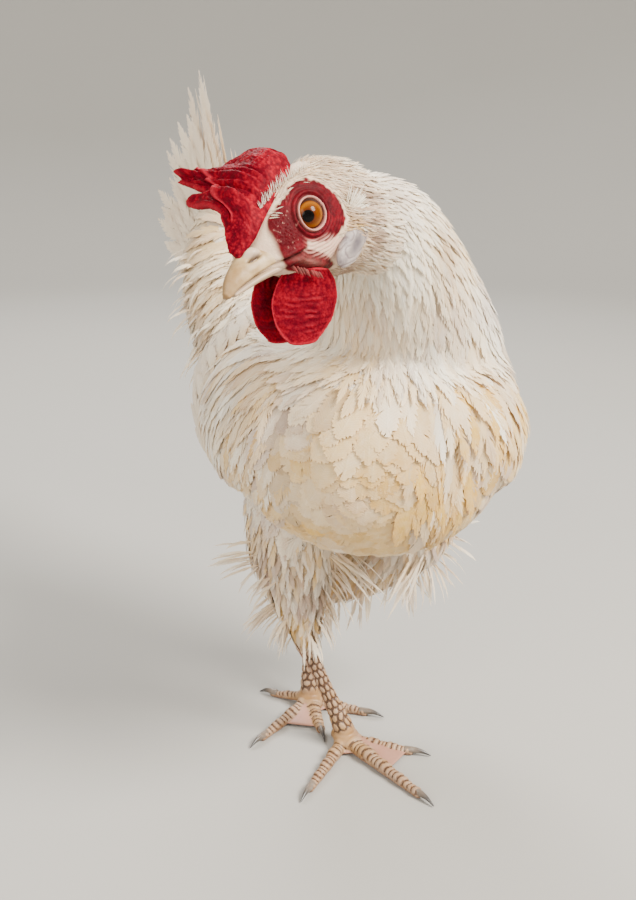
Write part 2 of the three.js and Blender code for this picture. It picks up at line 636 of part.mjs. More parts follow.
const shank = { halfWidth: 6.3, halfDepth: 6.9, plates: 13 };
const thighTiers = [
  { t: 0.24, count: 7, length: 44, halfWidth: 9.5, flare: 0.3, offset: 0 },
  { t: 0.46, count: 6, length: 36, halfWidth: 8.5, flare: 0.34, offset: 0.5 },
  { t: 0.66, count: 5, length: 26, halfWidth: 6.5, flare: 0.32, offset: 0.2 },
];
for (const [name, leg] of [['right', rightLeg], ['left', leftLeg]]) {
  const ankle = leg.hub.clone().setZ(hubHeight + 2);
  const { halfWidth: wide, halfDepth: deep, plates } = shank;
  const shankForm = new Form(Array.from({ length: plates }, (_, i) => {
    const s = i / (plates - 1);
    const waist = lerp(1, 0.66, Math.sin(Math.PI * Math.min(1, s * 1.1)) ** 0.7);
    const plate = i % 2 ? 1.05 : 0.97;
    return { at: leg.hock.clone().lerp(ankle, s), side: wide * waist * plate, up: deep * waist * plate };
  }), { caps: [4, 3], hint: AHEAD, capRings: 1 });
  const shankTool = shankForm.solid(plates - 1, 10, gap);
  addNode(`shank_${name}`, cut(shankForm.solid(plates - 1, 10), floorCut), scaledSkin);

  // the pad, its roots for the toes and the webs between the front toes
  const padCentre = leg.hub.clone().setZ(hubHeight - 1.2);
  const toes = Object.keys(leg.toes).map((toe) => toeForm(leg, toe));
  const roots = toes.map(({ out, start, at }) => new Form([
    { at: padCentre.clone(), side: 8.5, up: 7 },
    { at: at(start * 0.6).setZ(5.6), side: 6.8, up: 5.6 },
    { at: at(start + 4).setZ(4.6), side: 4.6, up: 4.6 },
  ], { caps: [6, 1], capRings: 1 }).solid(2, 8).subtract(block(at(start - gap), out)));
  const web = (a, b) => {
    const between = a.out.clone().add(b.out).normalize();
    const middle = leg.hub.clone().addScaledVector(between, 11).setZ(2.8);
    const ends = [a, b].map(({ at, start, out }) => block(at(start - gap), out));
    return cut(ellipsoid(middle, V(8, 8, 2.2), undefined, 7), ends);
  };
  const pad = join(roots, web(toes[0], toes[1]), web(toes[1], toes[2]));
  addNode(`foot_${name}`, cut(pad, shankTool, floorCut), scaledSkin);

  for (const toe of toes) {
    const { form, out, start, length, rings, at, hind } = toe;
    const ends = [block(at(start), out.clone().negate()), block(at(length), out)];
    addNode(`toe_${name}_${toe.name}`, cut(form.solid(2 * rings, sidesToe), ends, floorCut), scaledSkin);
    const reach = clawLength * (hind ? 0.8 : 1);
    const clawForm = new Form([-0.1, 0.3, 0.65, 1].map((s) => {
      const down = Math.max(0, s);
      const height = lerp(3, 0.9, down ** 1.6) + 1.1 * Math.sin(Math.PI * down);
      return { at: at(length + s * reach).setZ(height), side: lerp(2.2, 0.45, s), up: lerp(2.4, 0.45, s) };
    }), { caps: [1, 0.6], capRings: 1 });
    const clawRoot = block(at(length + gap), out.clone().negate());
    addNode(`claw_${name}_${toe.name}`, cut(clawForm.solid(3, 6), clawRoot, floorCut), claw);
  }

  // the feathered thigh: a cone from the flank to the hock, with locks in its fringe
  const form = thighForm(leg);
  const core = form.solid(thighRings, thighSides);
  const draw = random(leg.side + 5);
  const fall = leg.hock.clone().sub(leg.thigh).normalize();
  const lock = ({ t, count, length, halfWidth, flare, offset }, i) => {
    const a = (2 * Math.PI * (i + offset + 0.3 * draw())) / count;
    const root = form.point(t, a, -3);
    const out = form.normal(t, a);
    const hang = leg.hang * smoothstep(out.x * leg.side, -0.1, 0.6);
    const reach = length * lerp(0.85, 1.15, draw()) * lerp(1, 0.6, hang);
    const inward = out.x * leg.side < 0.2;
    const spread = flare * lerp(0.8, 1.3, draw()) * (inward ? 0.3 : 1);
    const heading = fall.clone().lerp(DOWN, hang).normalize();
    return vane((s) => {
      const raised = 2 + s * reach * spread * lerp(0.5, 1, s);
      return { at: root.clone().addScaledVector(heading, s * reach).addScaledVector(out, raised), out };
    }, { halfWidth, thick: 2.4, steps: 4, tipShape: 0.7, rootShare: 0.7 });
  };
  const locks = thighTiers.flatMap((tier) => Array.from({ length: tier.count }, (_, i) => lock(tier, i)));
  addNode(`thigh_${name}`, cut(join(core, locks), torsoTool, wings, shankTool, floorCut), plumage);
}

// the frame's origin: the middle of the bounding box's foot
const box = new THREE.Box3().setFromObject(hen);
const middle = box.getCenter(V(0, 0, 0));
hen.position.set(-middle.x, -middle.y, 0);

export default hen;
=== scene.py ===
# A white laying hen, life size, walking with its head turned to its right and tilted to look up.
import json
import math
import bpy
import numpy as np
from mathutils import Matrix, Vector, noise
from mathutils.bvhtree import BVHTree

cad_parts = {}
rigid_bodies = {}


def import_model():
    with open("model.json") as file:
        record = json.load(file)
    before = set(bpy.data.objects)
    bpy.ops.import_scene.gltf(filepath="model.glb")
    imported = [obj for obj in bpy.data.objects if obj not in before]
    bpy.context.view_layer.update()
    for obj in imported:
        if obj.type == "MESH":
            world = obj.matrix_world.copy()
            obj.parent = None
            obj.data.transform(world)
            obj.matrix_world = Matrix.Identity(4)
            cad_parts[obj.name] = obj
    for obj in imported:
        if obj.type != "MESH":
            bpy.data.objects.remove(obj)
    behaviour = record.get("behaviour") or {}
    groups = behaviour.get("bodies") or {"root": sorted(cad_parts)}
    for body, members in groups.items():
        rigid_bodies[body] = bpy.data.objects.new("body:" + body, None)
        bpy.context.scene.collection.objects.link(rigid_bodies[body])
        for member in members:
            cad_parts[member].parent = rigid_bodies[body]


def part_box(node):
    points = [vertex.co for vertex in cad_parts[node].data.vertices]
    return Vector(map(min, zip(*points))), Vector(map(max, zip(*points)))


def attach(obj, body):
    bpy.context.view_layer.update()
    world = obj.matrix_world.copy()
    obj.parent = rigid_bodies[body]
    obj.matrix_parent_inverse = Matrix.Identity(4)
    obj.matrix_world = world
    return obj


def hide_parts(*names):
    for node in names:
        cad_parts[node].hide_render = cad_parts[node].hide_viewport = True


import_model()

for spare in [o for o in bpy.data.objects if o.name in ("Cube", "Light", "Camera")]:
    bpy.data.objects.remove(spare)
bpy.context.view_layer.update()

# Everything is modelled in the hen's own millimetres: it walks towards -Y, its left is +X, the floor is z = 0,
# and x = y = 0 lies between its feet. toFrame moves that into the frame's metres.
mm = 0.001
up = np.array((0.0, 0.0, 1.0))
ahead = np.array((0.0, -1.0, 0.0))


def unit(v):
    return v / np.maximum(np.linalg.norm(v, axis=-1, keepdims=True), 1e-12)


def mix(a, b, s):
    return a + (b - a) * s


def ease(x, low, high):
    s = np.clip((x - low) / (high - low), 0, 1)
    return s * s * (3 - 2 * s)


def bell(x, centre, width):
    return np.exp(-(((x - centre) / width) ** 2))


def dot(a, b):
    return (a * b).sum(-1)


def spline(rows, t):  # a smooth line through the rows, t from 0 to 1
    rows = np.asarray(rows, float)
    last = len(rows) - 1
    padded = np.vstack([2 * rows[0] - rows[1], rows, 2 * rows[-1] - rows[-2]])
    x = np.clip(t, 0, 1) * last
    i = np.minimum(x.astype(int), last - 1)
    f = (x - i)[..., None]
    a, b, c, d = (padded[i + k] for k in range(4))
    return (2 * b + (c - a) * f + (2 * a - 5 * b + 4 * c - d) * f**2 + (3 * b - a - 3 * c + d) * f**3) / 2


def speckle(points, scale, seed=0.0, octaves=1):  # smooth noise about 0
    total = np.zeros(len(points))
    for octave in range(octaves):
        at = points * (2**octave / scale) + seed + 31.7 * octave
        total += np.array([noise.noise(p) for p in at]) / 2**octave
    return total


def cells(points, scale, seed=0.0):  # distance to the nearest cell's middle, 0 to about 1
    return np.array([noise.voronoi(p)[0][0] for p in points / scale + seed])


# the head's own frame: x ahead to the bill's tip, y to its left, z to its crown, in its millimetres
head = {"tip": (-139.4, -148.4, 314), "scale": 1.03, "turn": 65, "pitch": 12.5, "roll": 11.5}
eye = {"x": -47.4, "y": 11, "z": 15.5, "ballY": 8.8, "ball": 7.2, "lookAhead": 24, "pupilAhead": 40, "iris": 54}


def headAxes():
    turn, pitch, roll = (math.radians(head[k]) for k in ("turn", "pitch", "roll"))
    level = np.array((-math.sin(turn), -math.cos(turn), 0.0))
    levelLeft = np.array((-level[1], level[0], 0.0))
    forward = level * math.cos(pitch) - up * math.sin(pitch)
    left = levelLeft * math.cos(roll) + np.cross(forward, levelLeft) * math.sin(roll)
    return np.array((forward, left, np.cross(forward, left)))


axes = headAxes()


def inHead(points):
    return np.array(head["tip"]) + head["scale"] * (np.asarray(points, float) @ axes)


def toHead(points):
    return (points - np.array(head["tip"])) @ axes.T / head["scale"]


def boxMiddle(node):
    return np.array([list(corner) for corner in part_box(node)]).mean(0)


# the frame's place for the hen's own origin, read off its two eyeballs
origin = np.mean([boxMiddle("eye_left"), boxMiddle("eye_right")], 0) - mm * inHead((eye["x"], 0, eye["z"]))


def toFrame(points):
    return np.asarray(points, float) * mm + origin


# shader graphs
class Wire:
    # a shader socket that takes part in sums; each operation adds its Math node
    def __init__(self, graph, socket):
        self.graph = graph
        self.socket = socket

    def math(self, operation, first, second=0.0):
        return self.graph.add("ShaderNodeMath", {"operation": operation}, {0: first, 1: second})

    def __add__(self, other):
        return self.math("ADD", self, other)

    def __radd__(self, other):
        return self.math("ADD", other, self)

    def __sub__(self, other):
        return self.math("SUBTRACT", self, other)

    def __rsub__(self, other):
        return self.math("SUBTRACT", other, self)

    def __mul__(self, other):
        return self.math("MULTIPLY", self, other)

    def __rmul__(self, other):
        return self.math("MULTIPLY", other, self)

    def sine(self):
        return self.math("SINE", self)

    def size(self):
        return self.math("ABSOLUTE", self)

    def ramp(self, low, high):  # 0 below low, 1 above high
        return self.graph.add(
            "ShaderNodeMapRange", {"interpolation_type": "SMOOTHSTEP"}, {0: self, 1: low, 2: high, 3: 0.0, 4: 1.0}
        )


class Graph:
    def __init__(self, name):
        self.material = bpy.data.materials.new(name)
        self.material.use_nodes = True
        self.tree = self.material.node_tree
        self.shader = self.tree.nodes["Principled BSDF"]

    def add(self, kind, settings=None, sockets=None, output=0):
        node = self.tree.nodes.new(kind)
        for key, value in (settings or {}).items():
            setattr(node, key, value)
        self.plug(node, sockets or {})
        return Wire(self, node.outputs[output])

    def plug(self, node, sockets):
        for key, value in sockets.items():
            if isinstance(value, Wire):
                self.tree.links.new(value.socket, node.inputs[key])
            else:
                node.inputs[key].default_value = value

    def blend(self, first, second, share):
        color = [(*c, 1) if isinstance(c, tuple) else c for c in (first, second)]
        return self.add("ShaderNodeMix", {"data_type": "RGBA"}, {0: share, 6: color[0], 7: color[1]}, output=2)

    def paint(self, colors, base, **shares):  # lays the named colours over the base, each by its share
        color = colors[base]
        for name, share in shares.items():
            color = self.blend(color, colors[name], share)
        return color

    def attribute(self, name):  # the three numbers that each point of a piece carries under this name
        vector = self.add("ShaderNodeAttribute", {"attribute_name": name}, output=1)
        node = self.add("ShaderNodeSeparateXYZ", None, {0: vector}).socket.node
        return [Wire(self, node.outputs[i]) for i in range(3)]

    def place(self):
        return self.add("ShaderNodeTexCoord", output=3)

    def noise(self, scale, detail=3.0, roughness=0.5, where=None):
        sockets = {"Vector": where or self.place(), "Scale": scale, "Detail": detail, "Roughness": roughness}
        return self.add("ShaderNodeTexNoise", None, sockets)

    def cell(self, scale):
        return self.add("ShaderNodeTexVoronoi", None, {"Vector": self.place(), "Scale": scale})

    def bump(self, height, strength, distance):
        return self.add("ShaderNodeBump", None, {"Height": height, "Strength": strength, "Distance": distance})

    def finish(self, **sockets):
        self.plug(self.shader, {key.replace("_", " "): value for key, value in sockets.items()})
        return self.material


# meshes
def gridFaces(rings, sides, closed=True):  # quads of a grid of points, joined round its second way if closed
    i = np.arange(rings - 1)[:, None] * sides
    k = np.arange(sides if closed else sides - 1)[None, :]
    nextK = (k + 1) % sides
    return np.stack([i + k, i + sides + k, i + sides + nextK, i + nextK], -1).reshape(-1, 4)


def capped(points):  # a tube's points (rings, sides, 3), closed by a fan at either end
    rings, sides = points.shape[:2]
    ends = np.stack([points[0].mean(0), points[-1].mean(0)])
    quads = gridFaces(rings, sides)
    k = np.arange(sides)
    nextK = (k + 1) % sides
    first = np.stack([np.full(sides, rings * sides), k, nextK], -1)
    last = np.stack([np.full(sides, rings * sides + 1), (rings - 1) * sides + nextK, (rings - 1) * sides + k], -1)
    return np.vstack([points.reshape(-1, 3), ends]), [quads, np.vstack([first, last])]


def walled(front, rear):  # two sheets of points (rows, columns, 3), closed by a wall round their rim
    rows, columns = front.shape[:2]
    count = rows * columns
    sheet = gridFaces(rows, columns, closed=False)
    rim = np.concatenate([
        np.arange(columns), np.arange(1, rows) * columns + columns - 1,
        (rows - 1) * columns + np.arange(columns - 2, -1, -1), np.arange(rows - 2, 0, -1) * columns,
    ])
    after = np.roll(rim, -1)
    wall = np.stack([rim, after, after + count, rim + count], -1)
    return np.vstack([front.reshape(-1, 3), rear.reshape(-1, 3)]), [np.vstack([sheet, sheet[:, ::-1] + count, wall])]


def outward(points, faces):  # turns a closed form's faces the right way out
    quads = faces[0]
    middles = points[quads].mean(1) - points.mean(0)
    first = points[quads[:, 0]]
    facing = dot(middles, np.cross(points[quads[:, 1]] - first, points[quads[:, 2]] - first))
    return faces if facing.sum() > 0 else [f[:, ::-1] for f in faces]


def meshFrom(name, points, faces):
    mesh = bpy.data.meshes.new(name)
    sizes = np.concatenate([np.full(len(f), f.shape[1]) for f in faces])
    corners = np.concatenate([f.ravel() for f in faces])
    mesh.vertices.add(len(points))
    mesh.vertices.foreach_set("co", np.asarray(points, np.float32).ravel())
    mesh.loops.add(len(corners))
    mesh.loops.foreach_set("vertex_index", corners.astype(np.int32))
    mesh.polygons.add(len(sizes))
    starts = np.concatenate([[0], np.cumsum(sizes)[:-1]])
    mesh.polygons.foreach_set("loop_start", starts.astype(np.int32))
    mesh.update(calc_edges=True)
    mesh.polygons.foreach_set("use_smooth", np.full(len(sizes), True))
    return mesh


def setAttribute(mesh, name, values):
    layer = mesh.attributes.new(name, "FLOAT_VECTOR", "POINT")
    layer.data.foreach_set("vector", np.asarray(values, np.float32).ravel())


def addObject(name, data):
    made = bpy.data.objects.new(name, data)
    bpy.context.scene.collection.objects.link(made)
    return made


def makePiece(name, points, faces, material, nodes=(), attributes=None):
    mesh = meshFrom(name, toFrame(points), faces)
    for key, values in (attributes or {}).items():
        setAttribute(mesh, key, values)
    mesh.materials.append(material)
    piece = addObject(name, mesh)
    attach(piece, "root")
    if nodes:
        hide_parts(*nodes)
    return piece


def joined(parts):  # several (points, faces) as one
    points = []
    faces = {3: [], 4: []}
    start = 0
    for part, lists in parts:
        points.append(part)
        for f in lists:
            faces[f.shape[1]].append(f + start)
        start += len(part)
    return np.vstack(points), [np.vstack(f) for f in faces.values() if f]


def relax(points, faces, passes, share=0.5):
    edges = np.concatenate([np.stack([f, np.roll(f, -1, 1)], -1).reshape(-1, 2) for f in faces])
    count = np.bincount(edges[:, 0], minlength=len(points)) + np.bincount(edges[:, 1], minlength=len(points))
    for _ in range(passes):
        total = np.zeros_like(points)
        for axis in range(points.shape[1]):
            total[:, axis] = np.bincount(edges[:, 0], points[edges[:, 1], axis], len(points))
            total[:, axis] += np.bincount(edges[:, 1], points[edges[:, 0], axis], len(points))
        points = mix(points, total / np.maximum(count, 1)[:, None], share)
    return points


def fuse(parts, voxel, passes):  # closed forms grown into one skin
    points, faces = joined(parts)
    rough = addObject("rough", meshFrom("rough", points, faces))
    remesh = rough.modifiers.new("Remesh", "REMESH")
    remesh.mode = "VOXEL"
    remesh.voxel_size = voxel
    bpy.context.view_layer.update()
    shell = rough.evaluated_get(bpy.context.evaluated_depsgraph_get()).to_mesh()
    made = np.empty(len(shell.vertices) * 3)
    shell.vertices.foreach_get("co", made)
    corners = np.empty(len(shell.loops), np.int32)
    shell.loops.foreach_get("vertex_index", corners)
    made = made.reshape(-1, 3)
    quads = corners.reshape(-1, 4)
    bpy.data.objects.remove(rough)
    return relax(made, [quads], passes), quads


def pointNormals(points, faces):
    normals = np.zeros_like(points)
    for f in faces:
        n = np.cross(points[f[:, 1]] - points[f[:, 0]], points[f[:, 2]] - points[f[:, 0]])
        if f.shape[1] == 4:
            n += np.cross(points[f[:, 2]] - points[f[:, 0]], points[f[:, 3]] - points[f[:, 0]])
        for corner in range(f.shape[1]):
            for axis in range(3):
                normals[:, axis] += np.bincount(f[:, corner], n[:, axis], len(points))
    return unit(normals)


class Loft:
    # a rounded form along a smooth line; a row is x, y, z, half width, height above the line and below it
    def __init__(self, rows, hint=up, fullness=2.0):
        rows = np.array(rows, float)
        self.rows = np.hstack([rows, rows[:, 4:]]) if rows.shape[1] == 5 else rows
        self.hint = np.asarray(hint, float)
        self.bend = 2 / fullness

    def frame(self, t):
        t = np.asarray(t, float)
        step = 0.004
        along = unit(spline(self.rows[:, :3], t + step) - spline(self.rows[:, :3], t - step))
        side = unit(np.cross(along, self.hint))
        return spline(self.rows, t), along, side, np.cross(side, along)

    def point(self, t, degrees, lift=0.0):
        a = np.radians(degrees)
        row, _, side, over = self.frame(t)
        c, s = (np.sign(x) * np.abs(x) ** self.bend for x in (np.cos(a), np.sin(a)))
        height = np.where(s > 0, row[..., 4], row[..., 5])
        return row[..., :3] + side * (c * (row[..., 3] + lift))[..., None] + over * (s * (height + lift))[..., None]

    def normal(self, t, degrees):
        step = 0.006
        alongT = self.point(t + step, degrees) - self.point(t - step, degrees)
        around = self.point(t, degrees + 1) - self.point(t, degrees - 1)
        return unit(np.cross(alongT, around))

    def tube(self, rings, sides, lift=0.0, caps=(0.0, 0.0)):
        t = np.linspace(0, 1, rings)[:, None]
        degrees = np.linspace(0, 360, sides, endpoint=False)[None, :]
        t, degrees = np.broadcast_arrays(t, degrees)
        body = self.point(t, degrees, lift)
        ends = []
        for end, length in zip((0.0, 1.0), caps):
            row, along = self.frame(np.array(end))[:2]
            ring = body[0 if end == 0 else -1]
            turn = np.linspace(0, math.pi / 2, 7)[1:-1]
            sign = 1 if end else -1
            stack = [row[:3] + (ring - row[:3]) * math.cos(a) + along * sign * length * math.sin(a) for a in turn]
            ends.append(stack if end else stack[::-1])
        return capped(np.concatenate([np.array(ends[0]), body, np.array(ends[1])]))


# the body's forms
torso = {
    "halfWidth": 82, "back": 74, "keel": 70,
    "rows": [  # x, y, z, then shares of half width, back and keel
        (-39, -112.5, 212, 0.16, 0.18, 0.18), (-38, -109, 212, 0.34, 0.37, 0.37),
        (-36, -101, 212, 0.54, 0.58, 0.57), (-30, -87, 212, 0.75, 0.79, 0.77),
        (-18, -60, 211, 0.92, 0.94, 0.92), (-6, -25, 210, 0.99, 1.01, 0.98),
        (2, 10, 210, 1.0, 1.0, 1.01), (4, 45, 212, 0.94, 0.93, 1.0),
        (5, 80, 219, 0.79, 0.8, 0.89), (4, 108, 231, 0.6, 0.64, 0.7),
        (3, 130, 243, 0.4, 0.45, 0.48), (3, 142, 251, 0.22, 0.25, 0.27), (3, 146, 254, 0.1, 0.11, 0.12),
    ],
}
torsoScale = np.array((1, 1, 1, torso["halfWidth"], torso["back"], torso["keel"]))
torsoLoft = Loft(np.array(torso["rows"]) * torsoScale, fullness=2.1)
neckLoft = Loft([
    (9, -20, 226, 79, 60), (2, -44, 262, 61, 53), (-13, -68, 295, 45, 45),
    (-30, -88, 320, 33, 36), (-46, -100, 333, 25, 27), (-62, -109, 338, 20, 22),
])
rumpLoft = Loft([
    (1, 84, 226, 58, 56), (-5, 110, 246, 54, 49), (-12, 134, 267, 43, 41), (-17, 154, 289, 28, 32),
    (-19, 170, 308, 13, 20),
])
legs = {
    "right": {
        "side": -1, "hub": (-10.8, -14.7, 0), "hock": (-27, 8, 64), "thigh": (-38, 14, 168), "swell": (0, 0, 0),
        "toes": {"inner": (-48.7, 54), "middle": (-10.3, 81), "outer": (51, 66), "hind": (-162, 27)},
    },
    "left": {
        "side": 1, "hub": (-9, 38.3, 0), "hock": (-2, 53, 64), "thigh": (54, 6, 170), "swell": (18, -4, -6),
        "toes": {"inner": (62, 64), "middle": (15, 47), "outer": (-44, 51), "hind": (143, 38)},
    },
}


def thighLoft(leg):
    thigh, hock, hub, swell = (np.array(leg[k], float) for k in ("thigh", "hock", "hub", "swell"))
    rows = [
        (*thigh, 26, 36), (*(mix(thigh, hock, 0.35) + swell), 30, 36),
        (*(mix(thigh, hock, 0.62) + 0.8 * swell), 24, 26), (*mix(thigh, hock, 0.86), 15, 15),
        (*mix(hock, hub, 0.1), 8.6, 9),
    ]
    return Loft(rows, hint=ahead)


thighLofts = {name: thighLoft(leg) for name, leg in legs.items()}

# the folded wing on the torso: where it starts and ends along it, its edges in degrees round it, and how far it
# stands off; long feathers hang over it up to the share drape of its length
wing = {"start": {"left": 0.187, "right": 0.247}, "end": 0.727, "low": -30, "high": 52, "bulge": 8, "edge": 1.2,
        "under": 4, "deep": 14, "drape": 0.5, "reach": 262}


def wingEdges(s):
    low = mix(-6, wing["low"], np.sin(math.pi * np.minimum(1, s * 1.12)))
    high = mix(24, wing["high"], np.sin(math.pi * np.minimum(1, 0.1 + s * 0.9)) ** 0.8)
    return low, high


def alongWing(side, t):
    return (t - wing["start"][side]) / (wing["end"] - wing["start"][side])


def roundBody(side, degrees):  # degrees round the torso, counted from this side
    return degrees if side == "left" else 180 - degrees


def wingLift(side, t, a):  # how far the folded wing stands off the body at t along it and a degrees round it
    s = np.clip(alongWing(side, t), 0, 1)
    low, high = wingEdges(s)
    r = np.clip((a - low) / (high - low), 0, 1)
    along = np.sin(math.pi * np.minimum(1, 0.12 + 0.83 * s)) ** 0.6
    return wing["edge"] + wing["bulge"] * np.sin(math.pi * r) ** 0.7 * along


def wingPad(side):  # the flesh of the folded wing
    s, r = np.meshgrid(np.linspace(0.02, 0.96, 30), np.linspace(0.06, 0.94, 22), indexing="ij")
    a = mix(*wingEdges(s), r)
    t = mix(wing["start"][side], wing["end"], s)
    degrees = roundBody(side, a)
    outer = torsoLoft.point(t, degrees, wingLift(side, t, a) - wing["under"])
    return walled(outer, torsoLoft.point(t, degrees, -wing["deep"]))


headLoft = Loft([
    (-17, 0, 3.9, 4.4, 5.4, 3.8), (-22, 0, 4.8, 6.0, 7.6, 5.6), (-27, 0, 6.0, 8.8, 11.4, 8.6),
    (-32, 0, 6.9, 11.0, 15.2, 11.4), (-37, 0, 7.5, 12.3, 18.4, 13.3), (-48, 0, 8.5, 14.0, 23.4, 17.2),
    (-60, 0, 7.5, 15.2, 27.2, 19.6), (-71, 0, 4, 16.0, 28.0, 20.0), (-82, 0, -1.5, 15.8, 26.0, 17.0),
    (-96, 0, -10, 14, 20, 14),
])


def headSurface(rings, sides, lift=0.0):
    return headLoft.tube(rings, sides, lift, (1.5, 6))


def headCore():
    points, faces = headSurface(40, 36, -2.2)
    return inHead(points), faces


coat = {"torso": 5.5, "neck": 5.0, "rump": 5.0, "thigh": 6.0, "voxel": 2.6}


def bodySkin():
    parts = [
        torsoLoft.tube(50, 48, -coat["torso"], (1, 1)),
        neckLoft.tube(40, 40, -coat["neck"], (12, 6)),
        rumpLoft.tube(30, 36, -coat["rump"], (6, 5)),
        *(loft.tube(30, 28, -coat["thigh"], (6, 3)) for loft in thighLofts.values()),
        wingPad("left"), wingPad("right"), headCore(),
    ]
    return fuse(parts, coat["voxel"], 9)


def unwrapped(points, faces):  # one flat place for each face of a skin
    sheet = addObject("unwrap", meshFrom("unwrap", points * mm, [faces]))
    bpy.context.view_layer.objects.active = sheet
    sheet.select_set(True)
    bpy.ops.object.mode_set(mode="EDIT")
    bpy.ops.mesh.select_all(action="SELECT")
    bpy.ops.uv.smart_project(angle_limit=math.radians(66), island_margin=0.004)
    bpy.ops.object.mode_set(mode="OBJECT")
    flat = np.empty(len(sheet.data.loops) * 2)
    sheet.data.uv_layers.active.data.foreach_get("uv", flat)
    bpy.data.objects.remove(sheet)
    return flat.reshape(len(faces), -1, 2).mean(1)


class Ground:
    # a skin that feathers grow from: the lie of the coat over it, and where each face is on its unwrap
    def __init__(self, points, faces):
        self.points, self.faces = points, faces
        self.corners = points[faces]
        self.middles = self.corners.mean(1)
        self.out = unit(pointNormals(points, [faces])[faces].sum(1))
        self.tree = BVHTree.FromPolygons(points.tolist(), faces.tolist())
        self.uv = unwrapped(points, faces)

    def comb(self, lie, passes):  # smooths the lie of the coat and lays it along the skin
        total = np.zeros_like(self.points)
        for corner in range(4):
            for axis in range(3):
                total[:, axis] += np.bincount(self.faces[:, corner], unit(lie)[:, axis], len(self.points))
        lie = relax(total, [self.faces], passes)[self.faces].mean(1)
        self.lie = unit(lie - self.out * dot(lie, self.out)[:, None])


body = Ground(*bodySkin())
print("skin", len(body.points), "points")


# the lie of the coat
def nearness(loft, points, samples=60):  # how deep each point lies in the loft's range, and where along it
    t = np.linspace(0, 1, samples)
    row, along, side, over = loft.frame(t)
    delta = points[:, None, :] - row[None, :, :3]
    x, z = dot(delta, side[None]), dot(delta, over[None])
    height = np.where(z > 0, row[None, :, 4], row[None, :, 5])
    y = dot(delta, along[None])
    reach = np.sqrt((x / row[None, :, 3]) ** 2 + (z / height) ** 2 + (y / (0.5 * (row[None, :, 3] + height))) ** 2)
    best = reach.argmin(1)
    pick = np.arange(len(points))
    degrees = np.degrees(np.arctan2(z[pick, best] / height[pick, best], x[pick, best] / row[best, 3]))
    return reach[pick, best], t[best], degrees, along[best]


lofts = {"torso": torsoLoft, "neck": neckLoft, "rump": rumpLoft, "thighRight": thighLofts["right"],
         "thighLeft": thighLofts["left"]}


drapeStart = {"left": -0.09, "right": 0.03}  # where the long feathers begin, as a share of the wing


def drapeShare(torsoField):
    # 1 on the fronts of the wings and before them, where long feathers hang down, and, as a second share, 1 along
    # their front edges, where painted shade is laid
    share, seam = np.zeros((2, len(body.middles)))
    for side, begin in drapeStart.items():
        a = (roundBody(side, torsoField["degrees"]) + 180) % 360 - 180
        s = alongWing(side, torsoField["t"])
        bent = s - begin - 0.07 * (a / 45) ** 2 * (side == "right")
        here = ease(bent, -0.01, 0.05) * (1 - ease(s, 0.45, 0.62)) * ease(a, -50, -30) * (1 - ease(a, 55, 80))
        share = np.maximum(share, here)
        seam = np.maximum(seam, bell(bent, -0.005, 0.035) * ease(a, -45, -20) * (1 - ease(a, 35, 60)))
    onBody = ease(torsoField["share"], 0.2, 0.5)
    return share * onBody, seam * onBody


def coatFields():
    found = {}
    lie = np.zeros_like(body.middles)
    weights = {}
    for name, loft in lofts.items():
        reach, t, degrees, along = nearness(loft, body.middles)
        weights[name] = np.exp(-np.maximum(reach - 0.8, 0) / 0.06)
        found[name] = {"t": t, "degrees": degrees, "reach": reach}
        lie += weights[name][:, None] * (-along if name == "neck" else along)
    total = sum(weights.values())
    for name in lofts:
        found[name]["share"] = weights[name] / total
    front = ease(-body.out[:, 1], 0.1, 0.8) * (1 - found["neck"]["share"])
    lie += front[:, None] * np.array((0, 0.3, -2.2)) * np.maximum(total, 0.3)[:, None]
    lie += (ease(found["neck"]["t"], 0.0, 0.7) * found["neck"]["share"])[:, None] * np.array((0, 0, -0.35))
    facing = -0.8 * body.out[:, 1] - 0.6 * body.out[:, 0] * (body.middles[:, 0] < 0)  # ahead or to the right
    found["shawl"] = ease(facing, 0.0, 0.5) * (1 - found["neck"]["share"])
    lie += (found["shawl"] * ease(body.middles[:, 2], 228, 250))[:, None] * np.array((0, 0.4, -1.6))
    found["drape"], found["seam"] = drapeShare(found["torso"])
    lie += found["drape"][:, None] * np.array((0, 0.9, -2.2)) * np.maximum(total, 0.3)[:, None]
    lie += (found["torso"]["share"] * ease(-body.out[:, 2], 0, 1))[:, None] * np.array((0, 0.5, 0))
    return found, lie


fields, lie = coatFields()
body.comb(lie, 14)
print("lie of the coat")


# feathers
def roundTip(u):  # a body feather: broad, with a round end
    return ease(u, -0.06, 0.42) * (1 - np.clip(u, 0, 1) ** 4.5) ** 0.55


def lanceTip(u):  # a hackle: narrow and drawn to a point
    return ease(u, -0.08, 0.35) * (1 - np.clip(u, 0, 1) ** 2.6) ** 0.85


def quillTip(u):  # a flight or tail feather: long parallel edges
    return ease(u, -0.05, 0.2) * (1 - np.clip(u, 0, 1) ** 9) ** 0.6


def brushTip(u):  # a tail feather whose end is worn to strands
    return ease(u, -0.05, 0.2) * (1 - np.clip(u, 0, 1) ** 4) ** 0.8


